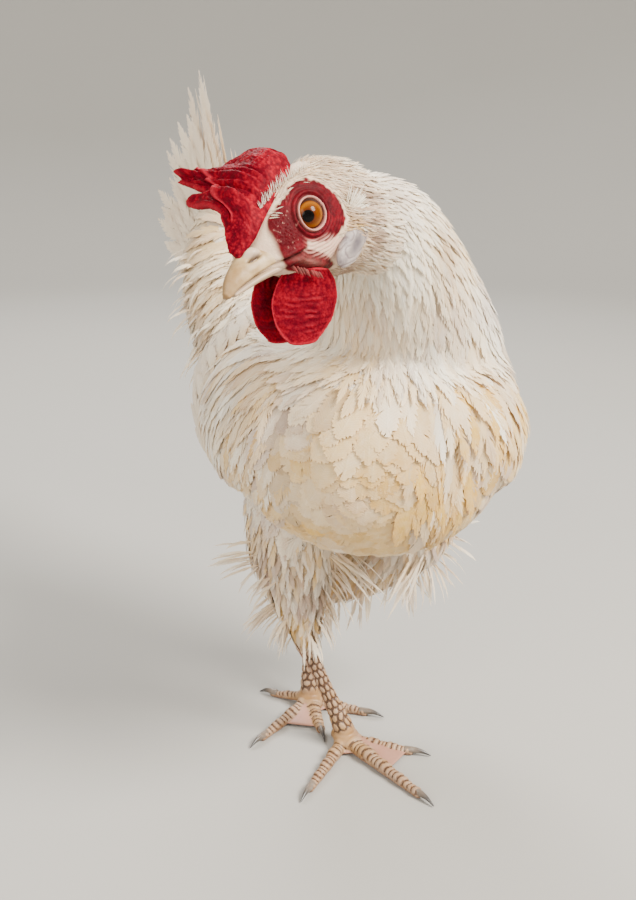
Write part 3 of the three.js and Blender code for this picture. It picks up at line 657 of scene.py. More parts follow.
class Vane:
    # one feather's pattern: u along, v across and w through it, its faces, and its barbs parted by fray
    def __init__(self, seed, barbs, outline, lean, fray, splits=0.0):
        draw = np.random.default_rng(seed)
        base = np.linspace(0, 0.94, barbs + 1)
        count = barbs + 1
        shaft = [np.stack([base, np.zeros(count), np.full(count, w)], -1) for w in (1.0, -1.0)]
        points = list(shaft)
        faces = []
        shafts = 2 * count
        tip = 2 * count + 2 * (count + barbs)
        for number, side in enumerate((1, -1)):
            reach = outline(base)
            u = np.minimum(base + lean * reach * (1 + 0.12 * draw.normal(size=count)), 0.99)
            v = side * outline(u) * (1 - 0.12 * draw.random(count))
            edge = np.stack([u, v, 0.25 * draw.normal(size=count)], -1)
            middle = (edge[:-1] + edge[1:]) / 2
            root = np.stack([(base[:-1] + base[1:]) / 2, np.zeros(barbs), np.zeros(barbs)], -1)
            depth = fray * draw.random(barbs) ** 0.7
            depth = np.where(draw.random(barbs) < splits, mix(0.7, 0.93, splits), depth)
            valley = mix(middle, root, depth[:, None])
            points += [edge, valley]
            e = shafts + number * (count + barbs)
            d = e + count
            for top, flip in ((0, side < 0), (count, side > 0)):
                for j in range(barbs):
                    tris = [(top + j, top + j + 1, d + j), (top + j, d + j, e + j), (top + j + 1, e + j + 1, d + j)]
                    faces += [t[::-1] if flip else t for t in tris]
                last = (top + barbs, tip, e + barbs)
                faces.append(last[::-1] if flip else last)
            close = (0, e, count) if side > 0 else (0, count, e)
            faces.append(close)
        points.append(np.array([[1.0, 0.0, 0.0]]))
        self.points = np.vstack(points)
        self.faces = np.array(faces)
        self.rim = np.arange(len(self.points)) >= shafts


def sweepGuides(guides, normals, u):
    steps = guides.shape[1] - 1
    along = unit(np.gradient(guides, axis=1))
    x = u * steps
    i = np.minimum(x.astype(int), steps - 1)
    f = (x - i)[None, :, None]
    at, way, out = (mix(a[:, i], a[:, i + 1], f) for a in (guides, along, normals))
    side = unit(np.cross(out, way))
    return at, side, unit(np.cross(way, side))


mostTriangles = 190000  # in one piece of the coat
bakePatch = 0.0015  # half the side of the square that a feather takes in the skin's picture


class Coat:
    # gathers feathers and turns them into pieces that aren't too large
    def __init__(self, name, material, slot="plumage", ground=body):
        self.name, self.material, self.slot, self.ground = name, material, slot, ground
        self.batches = []

    def add(self, shapes, guides, normals, halfWidth, thick, cup, tint, seed):
        draw = np.random.default_rng(seed)
        pick = draw.integers(0, len(shapes), len(guides))
        mirror = draw.choice((-1, 1), len(guides))
        chance = draw.random(len(guides))
        roots = guides[:, 0]
        places = np.array([self.ground.tree.find_nearest(root)[2] for root in roots])
        for number, shape in enumerate(shapes):
            rows = np.flatnonzero(pick == number)
            if not len(rows):
                continue
            u, v, w = shape.points.T
            at, side, out = sweepGuides(guides[rows], normals[rows], u)
            across = v[None, :] * mirror[rows, None]
            width = np.broadcast_to(halfWidth, len(guides))[rows, None]
            body = (1 - 0.75 * u)[None, :] * w[None, :] * thick / 2
            rise = body + np.broadcast_to(cup, len(guides))[rows, None] * width * (v**2)[None, :]
            points = at + side * (across * width)[..., None] + out * rise[..., None]
            vane = np.stack(np.broadcast_arrays(v[None, :], u[None, :], chance[rows, None]), -1)
            spot = self.ground.uv[places[rows]][:, None, :] + bakePatch * np.stack([v, 2 * u - 1], -1)[None]
            tints = np.broadcast_to(tint, (len(guides), 3))[rows][:, None, :] * np.ones((1, len(u), 1))
            flip = mirror[rows] < 0
            self.batches.append((shape, points, vane, spot, tints, flip))

    def build(self, nodes=()):
        pieces = []
        chunk = []
        size = 0
        for shape, *arrays in self.batches:
            per = len(shape.faces)
            many = len(arrays[0])
            start = 0
            while start < many:
                room = max(1, (mostTriangles - size) // per)
                stop = min(many, start + room)
                chunk.append((shape, *(a[start:stop] for a in arrays)))
                size += (stop - start) * per
                start = stop
                if size + per > mostTriangles:
                    pieces.append(chunk)
                    chunk = []
                    size = 0
        if chunk:
            pieces.append(chunk)
        made = [self.piece(chunk, number, len(pieces)) for number, chunk in enumerate(pieces)]
        if nodes:
            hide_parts(*nodes)
        print(self.name, len(made), "pieces,", sum(len(p.data.polygons) for p in made), "triangles")
        return made

    def piece(self, chunk, number, count):
        points, faces, vane, spot, tints, rim = [], [], [], [], [], []
        start = 0
        for shape, at, vanes, spots, tint, flip in chunk:
            many, per = at.shape[:2]
            offset = start + per * np.arange(many)[:, None, None]
            tris = np.where(flip[:, None, None], shape.faces[None, :, ::-1], shape.faces[None])
            faces.append((tris + offset).reshape(-1, 3))
            for store, values in ((points, at), (vane, vanes), (spot, spots), (tints, tint)):
                store.append(values.reshape(-1, values.shape[-1]))
            rim.append(np.tile(shape.rim, many))
            start += many * per
        points, vane, spot, tints, rim = (np.concatenate(a) for a in (points, vane, spot, tints, rim))
        name = self.name if count == 1 else f"{self.name}_{number + 1}"
        piece = makePiece(name, points, faces, self.material, (), {"vane": vane, "tint": tints})
        mesh = piece.data
        corners = np.empty(len(mesh.loops), np.int32)
        mesh.loops.foreach_get("vertex_index", corners)
        layer = mesh.uv_layers.new(name="OFBake")
        layer.data.foreach_set("uv", spot[corners].astype(np.float32).ravel())
        edges = np.empty(len(mesh.edges) * 2, np.int32)
        mesh.edges.foreach_get("vertices", edges)
        mesh.edges.foreach_set("use_edge_sharp", rim[edges.reshape(-1, 2)].all(1))
        return piece


sowTries = 7  # places tried for each that would fit


def sow(ground, spacing, mask, seed):  # faces picked so that no two lie nearer than the spacing, with a point on each
    draw = np.random.default_rng(seed)
    corners = ground.corners
    area = np.linalg.norm(np.cross(corners[:, 2] - corners[:, 0], corners[:, 3] - corners[:, 1]), axis=1) / 2
    spacing = np.broadcast_to(spacing, len(area))
    chance = np.where(mask, area / spacing**2, 0)
    picks = draw.choice(len(area), int(chance.sum() * sowTries), p=chance / chance.sum())
    a, b = draw.random((2, len(picks), 1))
    spots = mix(mix(corners[picks, 0], corners[picks, 1], a), mix(corners[picks, 3], corners[picks, 2], a), b)
    size = spacing[mask].max()
    grid = {}
    kept = []
    for i, (x, y, z) in enumerate(spots.tolist()):
        cell = (int(x // size), int(y // size), int(z // size))
        limit = spacing[picks[i]] ** 2
        near = (
            q for dx in (-1, 0, 1) for dy in (-1, 0, 1) for dz in (-1, 0, 1)
            for q in grid.get((cell[0] + dx, cell[1] + dy, cell[2] + dz), ())
        )
        if all((q[0] - x) ** 2 + (q[1] - y) ** 2 + (q[2] - z) ** 2 > limit for q in near):
            grid.setdefault(cell, []).append((x, y, z))
            kept.append(i)
    return picks[kept], spots[kept]


guideSteps = 6  # the line that a feather follows has so many parts


def march(ground, faces, spots, length, turn, low, high, cling):
    # guides that run over the skin along the lie of the coat, from low to high above it
    guides = np.empty((len(faces), guideSteps + 1, 3))
    normals = np.empty_like(guides)
    out = [Vector(n) for n in ground.out]
    lie = [Vector(n) for n in ground.lie]
    for i, (face, spot) in enumerate(zip(faces, spots)):
        at = Vector(spot)
        normal = out[face]
        way = (lie[face] + normal.cross(lie[face]) * turn[i]).normalized()
        straight = way.copy()
        step = length[i] / guideSteps
        free = at.copy()
        for k in range(guideSteps + 1):
            s = k / guideSteps
            guides[i, k] = free.lerp(at, cling[i]) + normal * mix(low, high[i], s**0.8)
            normals[i, k] = normal
            free = free + straight * step
            at, _, index, _ = ground.tree.find_nearest(at + way * step)
            fresh = (lie[index] + out[index].cross(lie[index]) * turn[i]).normalized()
            way = (way * 0.4 + fresh * 0.6).normalized()
            normal = (normal * 0.4 + out[index] * 0.6).normalized()
    return guides, normals


# feather finishes
# root is painted shade on the covered base of each feather, and edge is a lighter rim painted as part of the same
# shading
plume = {
    "down": (0.8, 0.67, 0.48), "web": (0.95, 0.88, 0.73), "root": (0.72, 0.55, 0.37), "edge": (0.97, 0.94, 0.86),
    "between": (0.6, 0.48, 0.36), "shaft": (0.95, 0.93, 0.88), "ochre": (0.74, 0.43, 0.08),
    "lilac": (0.4, 0.24, 0.19), "shade": (0.19, 0.1, 0.06), "worn": (0.45, 0.32, 0.22),
}


def featherFinish(name, barbs, gloss):
    graph = Graph(name)
    across, along, chance = graph.attribute("vane")
    ochre, lilac, shade = graph.attribute("tint")
    edge = across.size()
    barb = ((along * barbs + edge * (barbs * 0.18) + chance * 7.3) * math.tau).sine() * 0.5 + 0.5
    clump = graph.noise(260.0, 2.0)
    # each feather darkens to painted shade at its root and lightens to a painted highlight along its edges towards
    # the tip
    color = graph.paint(
        plume, "down", web=along.ramp(0.1, 0.8), root=(1 - along).ramp(0.6, 1.0) * 0.6,
        edge=edge.ramp(0.5, 0.95) * along * 0.5, between=(1 - barb) * 0.14, shaft=(1 - edge.ramp(0.0, 0.07)) * 0.15,
        ochre=ochre * (0.72 + clump * 0.45), lilac=lilac * (0.55 + clump * 0.55), shade=shade * 0.9,
        worn=(1 - chance) * 0.14,
    )
    height = barb * 0.5 + (1 - edge.ramp(0.0, 0.09)) * 1.2
    return graph.finish(
        Base_Color=color, Roughness=gloss, Sheen_Weight=0.1, Sheen_Roughness=0.5, Specular_IOR_Level=0.2,
        Subsurface_Weight=0.25, Subsurface_Radius=(0.004, 0.003, 0.002), Subsurface_Scale=1.0,
        Normal=graph.bump(height, 0.35, 0.0002),
    )


softFinish = featherFinish("feather_soft", 22.0, 0.62)
quillFinish = featherFinish("feather_quill", 60.0, 0.5)


# ochre is a stain on the feathers; the lilac tint and the shade tint are painted shade
def tints(ochre, lilac, shade=0.0):  # how much of each tint every feather takes
    return np.stack(np.broadcast_arrays(ochre, lilac, shade), -1)


# body coat
contour = [Vane(seed, 14, roundTip, 0.2, 0.28, 0.03) for seed in range(10)]
fluff = [Vane(seed + 20, 12, roundTip, 0.42, 0.8, 0.2) for seed in range(10)]
hackle = [Vane(seed + 40, 10, lanceTip, 0.26, 0.5, 0.16) for seed in range(12)]
quill = [Vane(seed + 60, 32, quillTip, 0.1, 0.14, 0.07) for seed in range(8)]
bristle = [Vane(seed + 90, 5, lanceTip, 0.2, 0.6, 0.3) for seed in range(8)]
brush = [Vane(seed + 70, 32, brushTip, 0.16, 0.4, 0.16) for seed in range(8)]


def wingMask():
    mask = np.zeros(len(body.middles), bool)
    field = fields["torso"]
    for side in ("left", "right"):
        a = (roundBody(side, field["degrees"]) + 180) % 360 - 180
        s = alongWing(side, field["t"])
        low, high = wingEdges(np.clip(s, 0, 1))
        mask |= (s > wing["drape"]) & (s < 0.88) & (a > low + 8) & (a < high - 9)
    return mask & (field["reach"] < 1.25) & (field["share"] > 0.3)


# the coat by place, in millimetres: how long, half as wide and far apart its feathers are, how far their tips rise,
# how closely they cling and how much they turn, and the shares that are downy or lances; a pair of values runs
# along the neck or down the thigh
coatStyle = {
    "all": {"length": 25, "width": 9.8, "spacing": 5.2, "rise": 1.8, "cling": 1.0, "turn": 0.07, "fluffy": 0.0,
            "lance": 0.0},
    "back": {"length": 32, "width": 8.6, "spacing": 5.2, "rise": 2.8},
    "below": {"length": 25, "width": 8.4, "spacing": 5.0, "rise": 2.8, "cling": 0.98, "turn": 0.2, "fluffy": 0.3},
    "rump": {"length": 32, "width": 6.4, "spacing": 4.8, "rise": 3.8, "cling": 0.9, "turn": 0.14, "fluffy": 0.3,
             "lance": 0.6},
    "rightDrape": {"length": 48, "width": 6.4, "spacing": 4.5, "rise": 3.2, "cling": 0.96, "turn": 0.1,
                   "fluffy": 0.0, "lance": 0.9},
    "leftDrape": {"length": 36, "width": 8.2, "spacing": 4.8, "rise": 2.3, "cling": 1.0, "turn": 0.08,
                  "fluffy": 0.0, "lance": 0.3},
    "shawl": {"length": 38, "width": 5.6, "spacing": 3.8, "rise": 3.6, "turn": 0.14, "fluffy": 0.0, "lance": 1.0},
    "neck": {"length": (40, 13), "width": (5.4, 1.9), "spacing": (3.9, 1.95), "rise": 2.0, "turn": 0.09,
             "fluffy": 0.0, "lance": 1.0},
    "collar": {"length": 42, "rise": 3.8, "cling": 0.92, "turn": 0.14},
    "thigh": {"length": (40, 20), "width": (5.6, 2.8), "spacing": (4.3, 2.6), "rise": 3.8, "cling": 0.85,
              "turn": 0.12, "fluffy": 0.25, "lance": 0.75},
}
hackleEnd = {"left": 250, "right": 231, "middle": 4, "ragged": 7}  # the height at which the cape of hackles ends


def coatPlaces():  # each place's share of each face, how high the cape ends there, and where its tips hang free
    middles, out = body.middles, body.out
    neck = ease(fields["neck"]["share"], 0.25, 0.6)
    back = ease(out[:, 2], 0.2, 0.8) * (1 - neck)
    fringe = mix(hackleEnd["left"], hackleEnd["right"], ease(-middles[:, 0], 50, 90))
    fringe += hackleEnd["middle"] * ease(middles[:, 0], 0, 20)
    fringe += hackleEnd["ragged"] * speckle(middles, 11, 2.2)
    free = np.maximum(ease(-out[:, 1], 0.1, 0.4), fields["shawl"]) * (1 - fields["drape"])
    above = mix(1, ease(middles[:, 2], fringe + 6, fringe + 14), free)
    neck = neck * above
    places = {
        "all": 1, "back": back, "below": ease(-out[:, 2], 0.2, 0.8) * (1 - neck),
        "rump": ease(fields["rump"]["share"], 0.3, 0.7),
        "rightDrape": fields["drape"] * (middles[:, 0] < 0), "leftDrape": fields["drape"] * (middles[:, 0] > 0),
        "shawl": above * fields["shawl"] * (1 - neck) * ease(middles[:, 2], 236, 246), "neck": neck,
        "collar": neck * ease(-out[:, 1], -0.2, 0.4) * (1 - ease(fields["neck"]["t"], 0.3, 0.5)),
        "thigh": ease(fields["thighRight"]["share"] + fields["thighLeft"]["share"], 0.35, 0.7),
    }
    return places, fringe, free


def coatShapes(places):  # the numbers of coatStyle at each face
    neckT = fields["neck"]["t"]
    thighT = np.where(body.middles[:, 0] < 5, fields["thighRight"]["t"], fields["thighLeft"]["t"])
    runs = {
        "neck": {"length": ease(neckT, 0.25, 1), "width": ease(neckT, 0.3, 1), "spacing": ease(neckT, 0.2, 1)},
        "thigh": {"length": ease(thighT, 0.3, 0.95), "width": thighT, "spacing": thighT},
    }
    style = {key: np.zeros(len(neckT)) for key in coatStyle["all"]}
    for place, share in places.items():
        for key, value in coatStyle[place].items():
            if isinstance(value, tuple):
                value = mix(*value, runs[place][key])
            style[key] = mix(style[key], value, share)
    return style


# the lilac tint is painted shade in patches, more on the thighs; the shade tint is painted shade in the folds, in
# patches and towards the belly
def coatTints(places, faces, draw):  # ochre on breast and thighs, lilac in patches, shade in the folds of the coat
    middles = body.middles[faces]
    many = len(faces)
    onLeft = ease(body.middles[:, 0], 0, 30)
    thigh = places["thigh"][faces]
    breast = ease(-middles[:, 2], -292, -226) * ease(-middles[:, 1], 20, 90)
    loose = np.maximum(fields["drape"][faces], thigh)
    warm = 0.16 + 0.12 * np.maximum(places["shawl"], places["rightDrape"]) - 0.1 * places["neck"] * onLeft
    ochre = 0.62 * breast + 0.22 * thigh + warm[faces] + 0.5 * speckle(middles, 34, 7.7)
    ochre = np.clip(ochre + mix(0.08, 0.25, loose) * draw.normal(size=many), 0, 1)
    lilac = 0.1 + 0.9 * speckle(middles, 26, 3.1) + 0.2 * thigh + mix(0.12, 0.3, loose) * draw.normal(size=many)
    capeEdge = places["neck"] * bell(fields["neck"]["t"], 0.2, 0.07) * onLeft
    # painted shade along the wings' front edges and the lower edge of the cape, and darker towards the belly
    shade = ease(-middles[:, 2], -175, -120) * 0.2 + 0.5 * np.maximum(fields["seam"], capeEdge)[faces]
    even = np.maximum(breast, places["leftDrape"][faces])
    shade += 0.5 * speckle(middles, 24, 5.5, 2) * mix(1, 0.4, even) + 0.08 * draw.normal(size=many)
    return tints(ochre, np.clip(lilac, 0, 1) * (1 - 0.6 * ochre), np.clip(shade, 0, 1))


def bodyCoat():
    places, fringe, free = coatPlaces()
    style = coatShapes(places)
    faces, spots = sow(body, style["spacing"], ~wingMask() & (fields["neck"]["t"] < 0.99), 3)
    style = {key: value[faces] for key, value in style.items()}
    draw = np.random.default_rng(5)
    many = len(faces)
    length = style["length"] * (1 + 0.12 * draw.normal(size=many))
    room = np.maximum(17, 1.15 * (body.middles[faces, 2] - fringe[faces]) + 9 + 5 * draw.normal(size=many))
    hangs = free[faces] * style["lance"] > 0.4
    length = np.where(hangs, np.minimum(length, room), length)
    width = np.where(hangs, np.minimum(style["width"], 0.16 * length), style["width"])
    turn = style["turn"] * draw.normal(size=many)
    high = style["rise"] * (1 + 0.12 * draw.normal(size=many))
    guides, normals = march(body, faces, spots, length, turn, -1.2, high, style["cling"])
    tint = coatTints(places, faces, draw)
    lance = draw.random(many) < style["lance"]
    downy = ~lance & (draw.random(many) < style["fluffy"])
    kinds = {"coat_hackle": (lance, hackle, -0.06), "coat_down": (downy, fluff, -0.08),
             "coat_contour": (~lance & ~downy, contour, -0.07)}
    for number, (name, (rows, shapes, cup)) in enumerate(kinds.items()):
        part = Coat(name, softFinish)
        part.add(shapes, guides[rows], normals[rows], width[rows], 0.35, cup, tint[rows], number + 9)
        part.build()


bodyCoat()

# loose tufts on the thighs and beside the tail: where each roots (t, degrees), which way it hangs (to the hen's
# left, back and up), how long it is, how many strands it has and how far these spread
tufts = {
    "thighRight": [
        (0.26, 5, (-1.0, 0.5, 0.0), 22, 12, 0.22), (0.36, 20, (-0.7, 0.3, -0.7), 17, 10, 0.26),
        (0.58, 0, (-0.8, 0.35, -0.6), 20, 14, 0.24), (0.68, 25, (-0.3, 0.1, -1.0), 18, 12, 0.2),
        (0.42, 120, (0.45, 0.0, -1.0), 26, 10, 0.16), (0.62, 130, (0.25, 0.0, -1.0), 20, 12, 0.16),
        (0.24, 122, (0.7, -0.2, -0.85), 36, 12, 0.07), (0.78, 90, (0.05, 0, -1.0), 15, 10, 0.2),
        (0.78, 330, (-0.2, 0.2, -1.0), 14, 9, 0.2), (0.8, 200, (0.2, 0.3, -1.0), 15, 9, 0.2),
    ],
    "thighLeft": [
        (0.3, 85, (-0.75, 0.1, -0.75), 32, 12, 0.12), (0.36, 110, (-0.25, -0.1, -1.0), 24, 13, 0.24),
        (0.32, 130, (0.35, -0.2, -0.9), 19, 12, 0.3), (0.24, 150, (0.8, -0.1, -0.3), 17, 10, 0.25),
        (0.55, 100, (-0.2, -0.1, -1.0), 20, 10, 0.2), (0.75, 90, (0.0, 0.0, -1.0), 16, 9, 0.2),
    ],
    "rump": [
        (0.05, 185, (-0.4, 0.5, -0.8), 20, 9, 0.18), (0.25, 175, (-0.5, 0.5, -0.7), 19, 9, 0.2),
        (0.42, 185, (-0.6, 0.5, -0.6), 18, 10, 0.2), (0.58, 175, (-0.6, 0.5, -0.55), 17, 9, 0.2),
        (0.75, 185, (-0.6, 0.5, -0.4), 16, 9, 0.2), (0.5, 0, (0.6, 0.5, -0.5), 18, 9, 0.2),
        (0.25, 5, (0.5, 0.5, -0.6), 20, 9, 0.2),
    ],
}


def buildTufts():
    draw = np.random.default_rng(31)
    steps = np.linspace(0, 1, guideSteps + 1)[:, None]
    guides, normals, width = [], [], []
    for name, t, degrees, way, length, count, spread in [(name, *tuft) for name in tufts for tuft in tufts[name]]:
        loose, broad = (2.6, 0.9) if name == "rump" else (1, 0)
        for _ in range(count):
            at = np.array(t + 0.035 * loose * draw.normal())
            around = np.array(degrees + 9 * loose * draw.normal())
            root = lofts[name].point(at, around, -coat["thigh"] + 1)
            out = lofts[name].normal(at, around)
            heading = unit(unit(np.array(way)) + spread * loose**0.5 * draw.normal(size=3) + 0.15 * out)
            reach = length * (0.55 + 0.65 * draw.random())
            bow = out * (2.5 + 2.5 * draw.random()) * np.sin(math.pi * 0.75 * steps) - up * 5 * steps**2
            guides.append(root + heading * reach * steps + bow)
            normals.append(np.tile(out, (guideSteps + 1, 1)))
            width.append(mix(0.6, 1.7, draw.random()) + broad)
    tint = tints(0.3 * draw.random(len(guides)), 0.5 * draw.random(len(guides)))
    part = Coat("coat_tufts", softFinish)
    part.add(hackle, np.array(guides), np.array(normals), np.array(width), 0.4, -0.25, tint, 61)
    part.build()


buildTufts()


# wings
wingRows = [  # rows of feathers from the shoulder back: s and r on the wing, then the feathers' size
    {"kind": contour, "s": 0.42, "r": (0.03, 0.97), "count": 12, "length": 34, "width": 8.0, "rise": 2.6},
    {"kind": quill, "s": 0.50, "r": (0.04, 0.96), "count": 12, "length": 42, "width": 7.8, "rise": 2.8},
    {"kind": quill, "s": 0.57, "r": (0.05, 0.95), "count": 12, "length": 50, "width": 7.8, "rise": 2.6},
    {"kind": quill, "s": 0.63, "r": (0.2, 0.95), "count": 10, "length": 66, "width": 8.0, "rise": 2.2},
    {"kind": quill, "s": 0.60, "r": (0.02, 0.3), "count": 6, "length": 84, "width": 6.6, "rise": 1.4},
]


def wingGuides(side, row, draw):
    count = row["count"]
    r = np.linspace(*row["r"], count) + draw.normal(size=count) * 0.012
    s = row["s"] + draw.normal(size=count) * 0.008
    a = mix(*wingEdges(s), r)
    t = mix(wing["start"][side], wing["end"], s)
    stretch = row["length"] * (1 + 0.05 * draw.normal(size=count)) / wing["reach"]
    steps = np.linspace(0, 1, guideSteps + 1)[None, :]
    tipRise = mix(-3.0, 10.0, ease(r, 0.0, 0.4))[:, None] * (row["length"] / 60)
    t = np.minimum(t[:, None] + stretch[:, None] * steps, 0.985)
    a = a[:, None] + (tipRise + (8 - a[:, None] * 0.25) * row["length"] / 60) * steps
    lift = wingLift(side, t, a) - 3.2 + (row["rise"] + 2.2) * steps**0.7
    degrees = roundBody(side, a)
    return torsoLoft.point(t, degrees, lift), torsoLoft.normal(t, degrees)


def buildWing(side):
    draw = np.random.default_rng(17)
    coatPart = Coat(f"wing_{side}_feathers", quillFinish, "flight_feather")
    for number, row in enumerate(wingRows):
        guides, normals = wingGuides(side, row, draw)
        tint = tints(0.25, 0.2 + 0.2 * draw.random(len(guides)))
        coatPart.add(row["kind"], guides, normals, row["width"], 0.8, -0.16, tint, 30 + number)
    coatPart.build([f"wing_{side}"])


for side in ("left", "right"):
    buildWing(side)


# tail
tail = {"root": (-10, 138, 266), "sway": -0.05, "buried": 18, "length": 114, "low": 26, "high": 62}
tailTiers = [
    {"count": 10, "length": 1.0, "inset": 2.0, "width": 10.5, "range": (0.0, 1.0)},
    {"count": 9, "length": 0.8, "inset": 8.0, "width": 9, "range": (0.02, 1.0)},
    {"count": 8, "length": 0.6, "inset": 14.0, "width": 7, "range": (0.04, 1.0)},
    {"count": 7, "length": 0.42, "inset": 19.0, "width": 6.5, "range": (0.05, 0.98)},
]


def buildTail():
    coatPart = Coat("tail_feathers", quillFinish, "flight_feather")
    draw = np.random.default_rng(7)
    steps = np.linspace(0, 1, guideSteps + 1)
    for side in (1, -1):
        for number, tier in enumerate(tailTiers):
            guides, normals = [], []
            for i in range(tier["count"]):
                s = mix(*tier["range"], i / (tier["count"] - 1))
                angle = np.radians(mix(tail["low"], tail["high"], s) + 2 * draw.normal())
                level = (tier["inset"] + 12 * (1 - i / (tier["count"] - 1))) * (1 if side > 0 else 0.6)
                start = np.array(tail["root"]) + np.array((side * level, mix(4, 0, s), mix(-8, 12, s)))
                reach = tail["length"] * tier["length"] * mix(0.9, 1.02, s) * (0.96 + 0.08 * draw.random())
                curl = np.radians(7 * steps * mix(-1, 1, s))
                lean = tail["sway"] + side * mix(0.06 if side > 0 else 0.02, 0.01, s) + 0.015 * draw.normal()
                heading = np.stack([np.full_like(steps, lean), np.cos(angle + curl), np.sin(angle + curl)], -1)
                guides.append(start + heading * (tail["buried"] + steps * reach)[:, None])
                normals.append(np.tile(unit(np.array((side, -0.14, 0.315))), (len(steps), 1)))
            tint = tints(0.22, 0.2 + 0.25 * draw.random(len(guides)))
            coatPart.add(brush, np.array(guides), np.array(normals), tier["width"], 1.0, -0.1, tint, 70 + number)
    coatPart.build(["tail"])


buildTail()
print("wings and tail")


# the skin
skinColors = {"dark": (0.62, 0.52, 0.4), "pale": (0.8, 0.73, 0.62)}


def skinFinish():  # under the feathers lies pale down
    graph = Graph("skin_down")
    mottle = graph.noise(260.0, 4.0)
    color = graph.paint(skinColors, "dark", pale=mottle)
    fuzz = graph.noise(1400.0, 3.0)
    return graph.finish(Base_Color=color, Roughness=0.85, Normal=graph.bump(fuzz, 0.7, 0.0008))


makePiece("skin", body.points, [body.faces], skinFinish(),
          ("torso", "neck", "head", "thigh_left", "thigh_right"))


# the head
face = {"slant": math.radians(25.8)}  # the face runs back and down from the bill by this much


def facePlane(points):  # how far a point lies behind the eye and over it, along the slant of the face
    x, z = points[:, 0] - eye["x"], points[:, 2] - eye["z"]
    c, s = math.cos(face["slant"]), math.sin(face["slant"])
    return -c * x - s * z, -s * x + c * z


def fromFacePlane(back, over):
    c, s = math.cos(face["slant"]), math.sin(face["slant"])
    return np.stack([-c * back - s * over, 0 * back, -s * back + c * over], -1)


def gaze(side, degrees):  # the way an eye looks, so many degrees ahead of straight out
    look = math.radians(degrees)
    return np.array((math.sin(look), side * math.cos(look), 0.0))


def eyeRadius(points, side):  # how far the points lie from the eye's axis
    axis = gaze(side, eye["lookAhead"])
    delta = points - np.array((eye["x"], side * eye["y"], eye["z"]))
    return np.linalg.norm(delta - (delta @ axis)[:, None] * axis, axis=1)


# how much each form of the face rises or sinks, in millimetres; a ring of the lids has a radius, a width and a rise
relief = {
    "rings": [(6.4, 0.5, 1.2), (7.3, 0.4, -0.55), (8.3, 0.7, 0.7), (9.35, 0.45, -0.45)],
    "socket": 4.6, "wrinkle": 0.4, "wrinkleEvery": 1.45, "cheek": 0.5, "lores": 0.35, "brow": 1.1, "mouth": 1.4,
    "upperLip": 1.5, "lowerLip": 1.2, "pleat": 1.1, "grain": 0.26,
}


def headRelief(points):
    # folds, lids and grain over the bare face, in millimetres along the normal, and how much painted shade each point
    # takes in the creases and rings round the eye, under the brow, over the lores, in the cheek's wrinkles and along
    # the mouth
    rise = np.zeros(len(points))
    fold = np.zeros(len(points))
    lid = np.zeros(len(points))
    wobble = speckle(points, 7.0, 4.0, 2)
    patchy = 0.55 + 0.6 * speckle(points, 5.0, 9.0)
    back, over = facePlane(points)
    for side in (1, -1):
        near = (points[:, 1] * side > 0).astype(float)
        r = eyeRadius(points, side)
        rise -= near * relief["socket"] * (1 - ease(r, 4.9, 6.0))  # the eyeball fills it
        for radius, width, height in relief["rings"]:
            rise += near * height * bell(r, radius, width)
        turns = (r + 0.8 * wobble - 10.2) / relief["wrinkleEvery"]
        crease = 0.5 + 0.5 * np.cos(math.tau * turns)  # fine folds in rings round the eye
        lores = ease(-back, 4, 9) * ease(-over, -6, 2)
        span = ease(r, 9.4, 10.4) * (1 - ease(r, 15, 22)) * np.clip(patchy, 0, 1) * (1 - 0.9 * lores)
        rise += near * span * relief["wrinkle"] * (crease - 0.5)
        fold += near * (span * (1 - crease) + bell(r, 7.3, 0.4) + 0.8 * bell(r, 9.35, 0.4) + 0.6 * lores)
        fold += near * 0.75 * bell(over, 8, 3.5) * bell(back, -1, 9)
        below = ease(-over, 6, 9) * ease(back, -6, 0) * ease(r, 9.5, 10.5) * (1 - ease(r, 19, 24))
        below = below * (1 - ease(-over, 15, 17))  # the pale wrinkles of the cheek
        lid += near * (bell(r, 6.25, 0.42) * (0.8 + patchy / 4) + below * (0.1 + 0.8 * crease**1.5))
        rise += near * relief["cheek"] * below * (crease - 0.5)
        fold += near * 0.5 * below * (1 - crease) ** 1.5
    lores = bell(back, -12, 6) * bell(over, -7, 8)
    papilla = ease(0.45 - cells(points, 1.0, 4.0), 0, 0.25)
    rise += relief["lores"] * lores * papilla
    lid += 0.6 * lores * papilla * (speckle(points, 1.6, 3.0) > 0.3)
    fold += 0.5 * lores * (1 - papilla)
    width = np.abs(points[:, 1])
    rise += relief["brow"] * bell(over, 10.5, 2.6) * bell(back, 1, 10) * ease(width, 4, 7)
    x, z = points[:, 0], points[:, 2]
    mouth = 3.0 + 0.05 * (-x - 27)
    gape = ease(-x, 22, 25) * (1 - ease(-x, 35, 41)) * ease(width, 4, 6)
    lips = relief["upperLip"] * bell(z, mouth + 1.7, 1.2) - relief["mouth"] * bell(z, mouth, 0.55)
    rise += gape * (lips + relief["lowerLip"] * bell(z, mouth - 1.8, 1.2))
    fold += gape * bell(z, mouth, 0.6)
    pleat = bell(over, -18.2, 1.4) * bell(back, 2, 9) * ease(width, 5, 8)  # the fold behind the gape
    rise += relief["pleat"] * pleat
    rise += relief["grain"] * (1 - cells(points, 1.3)) * ease(-x, 18, 24)
    return rise, np.clip(fold, 0, 1), np.clip(lid + 0.25 * pleat, 0, 1)


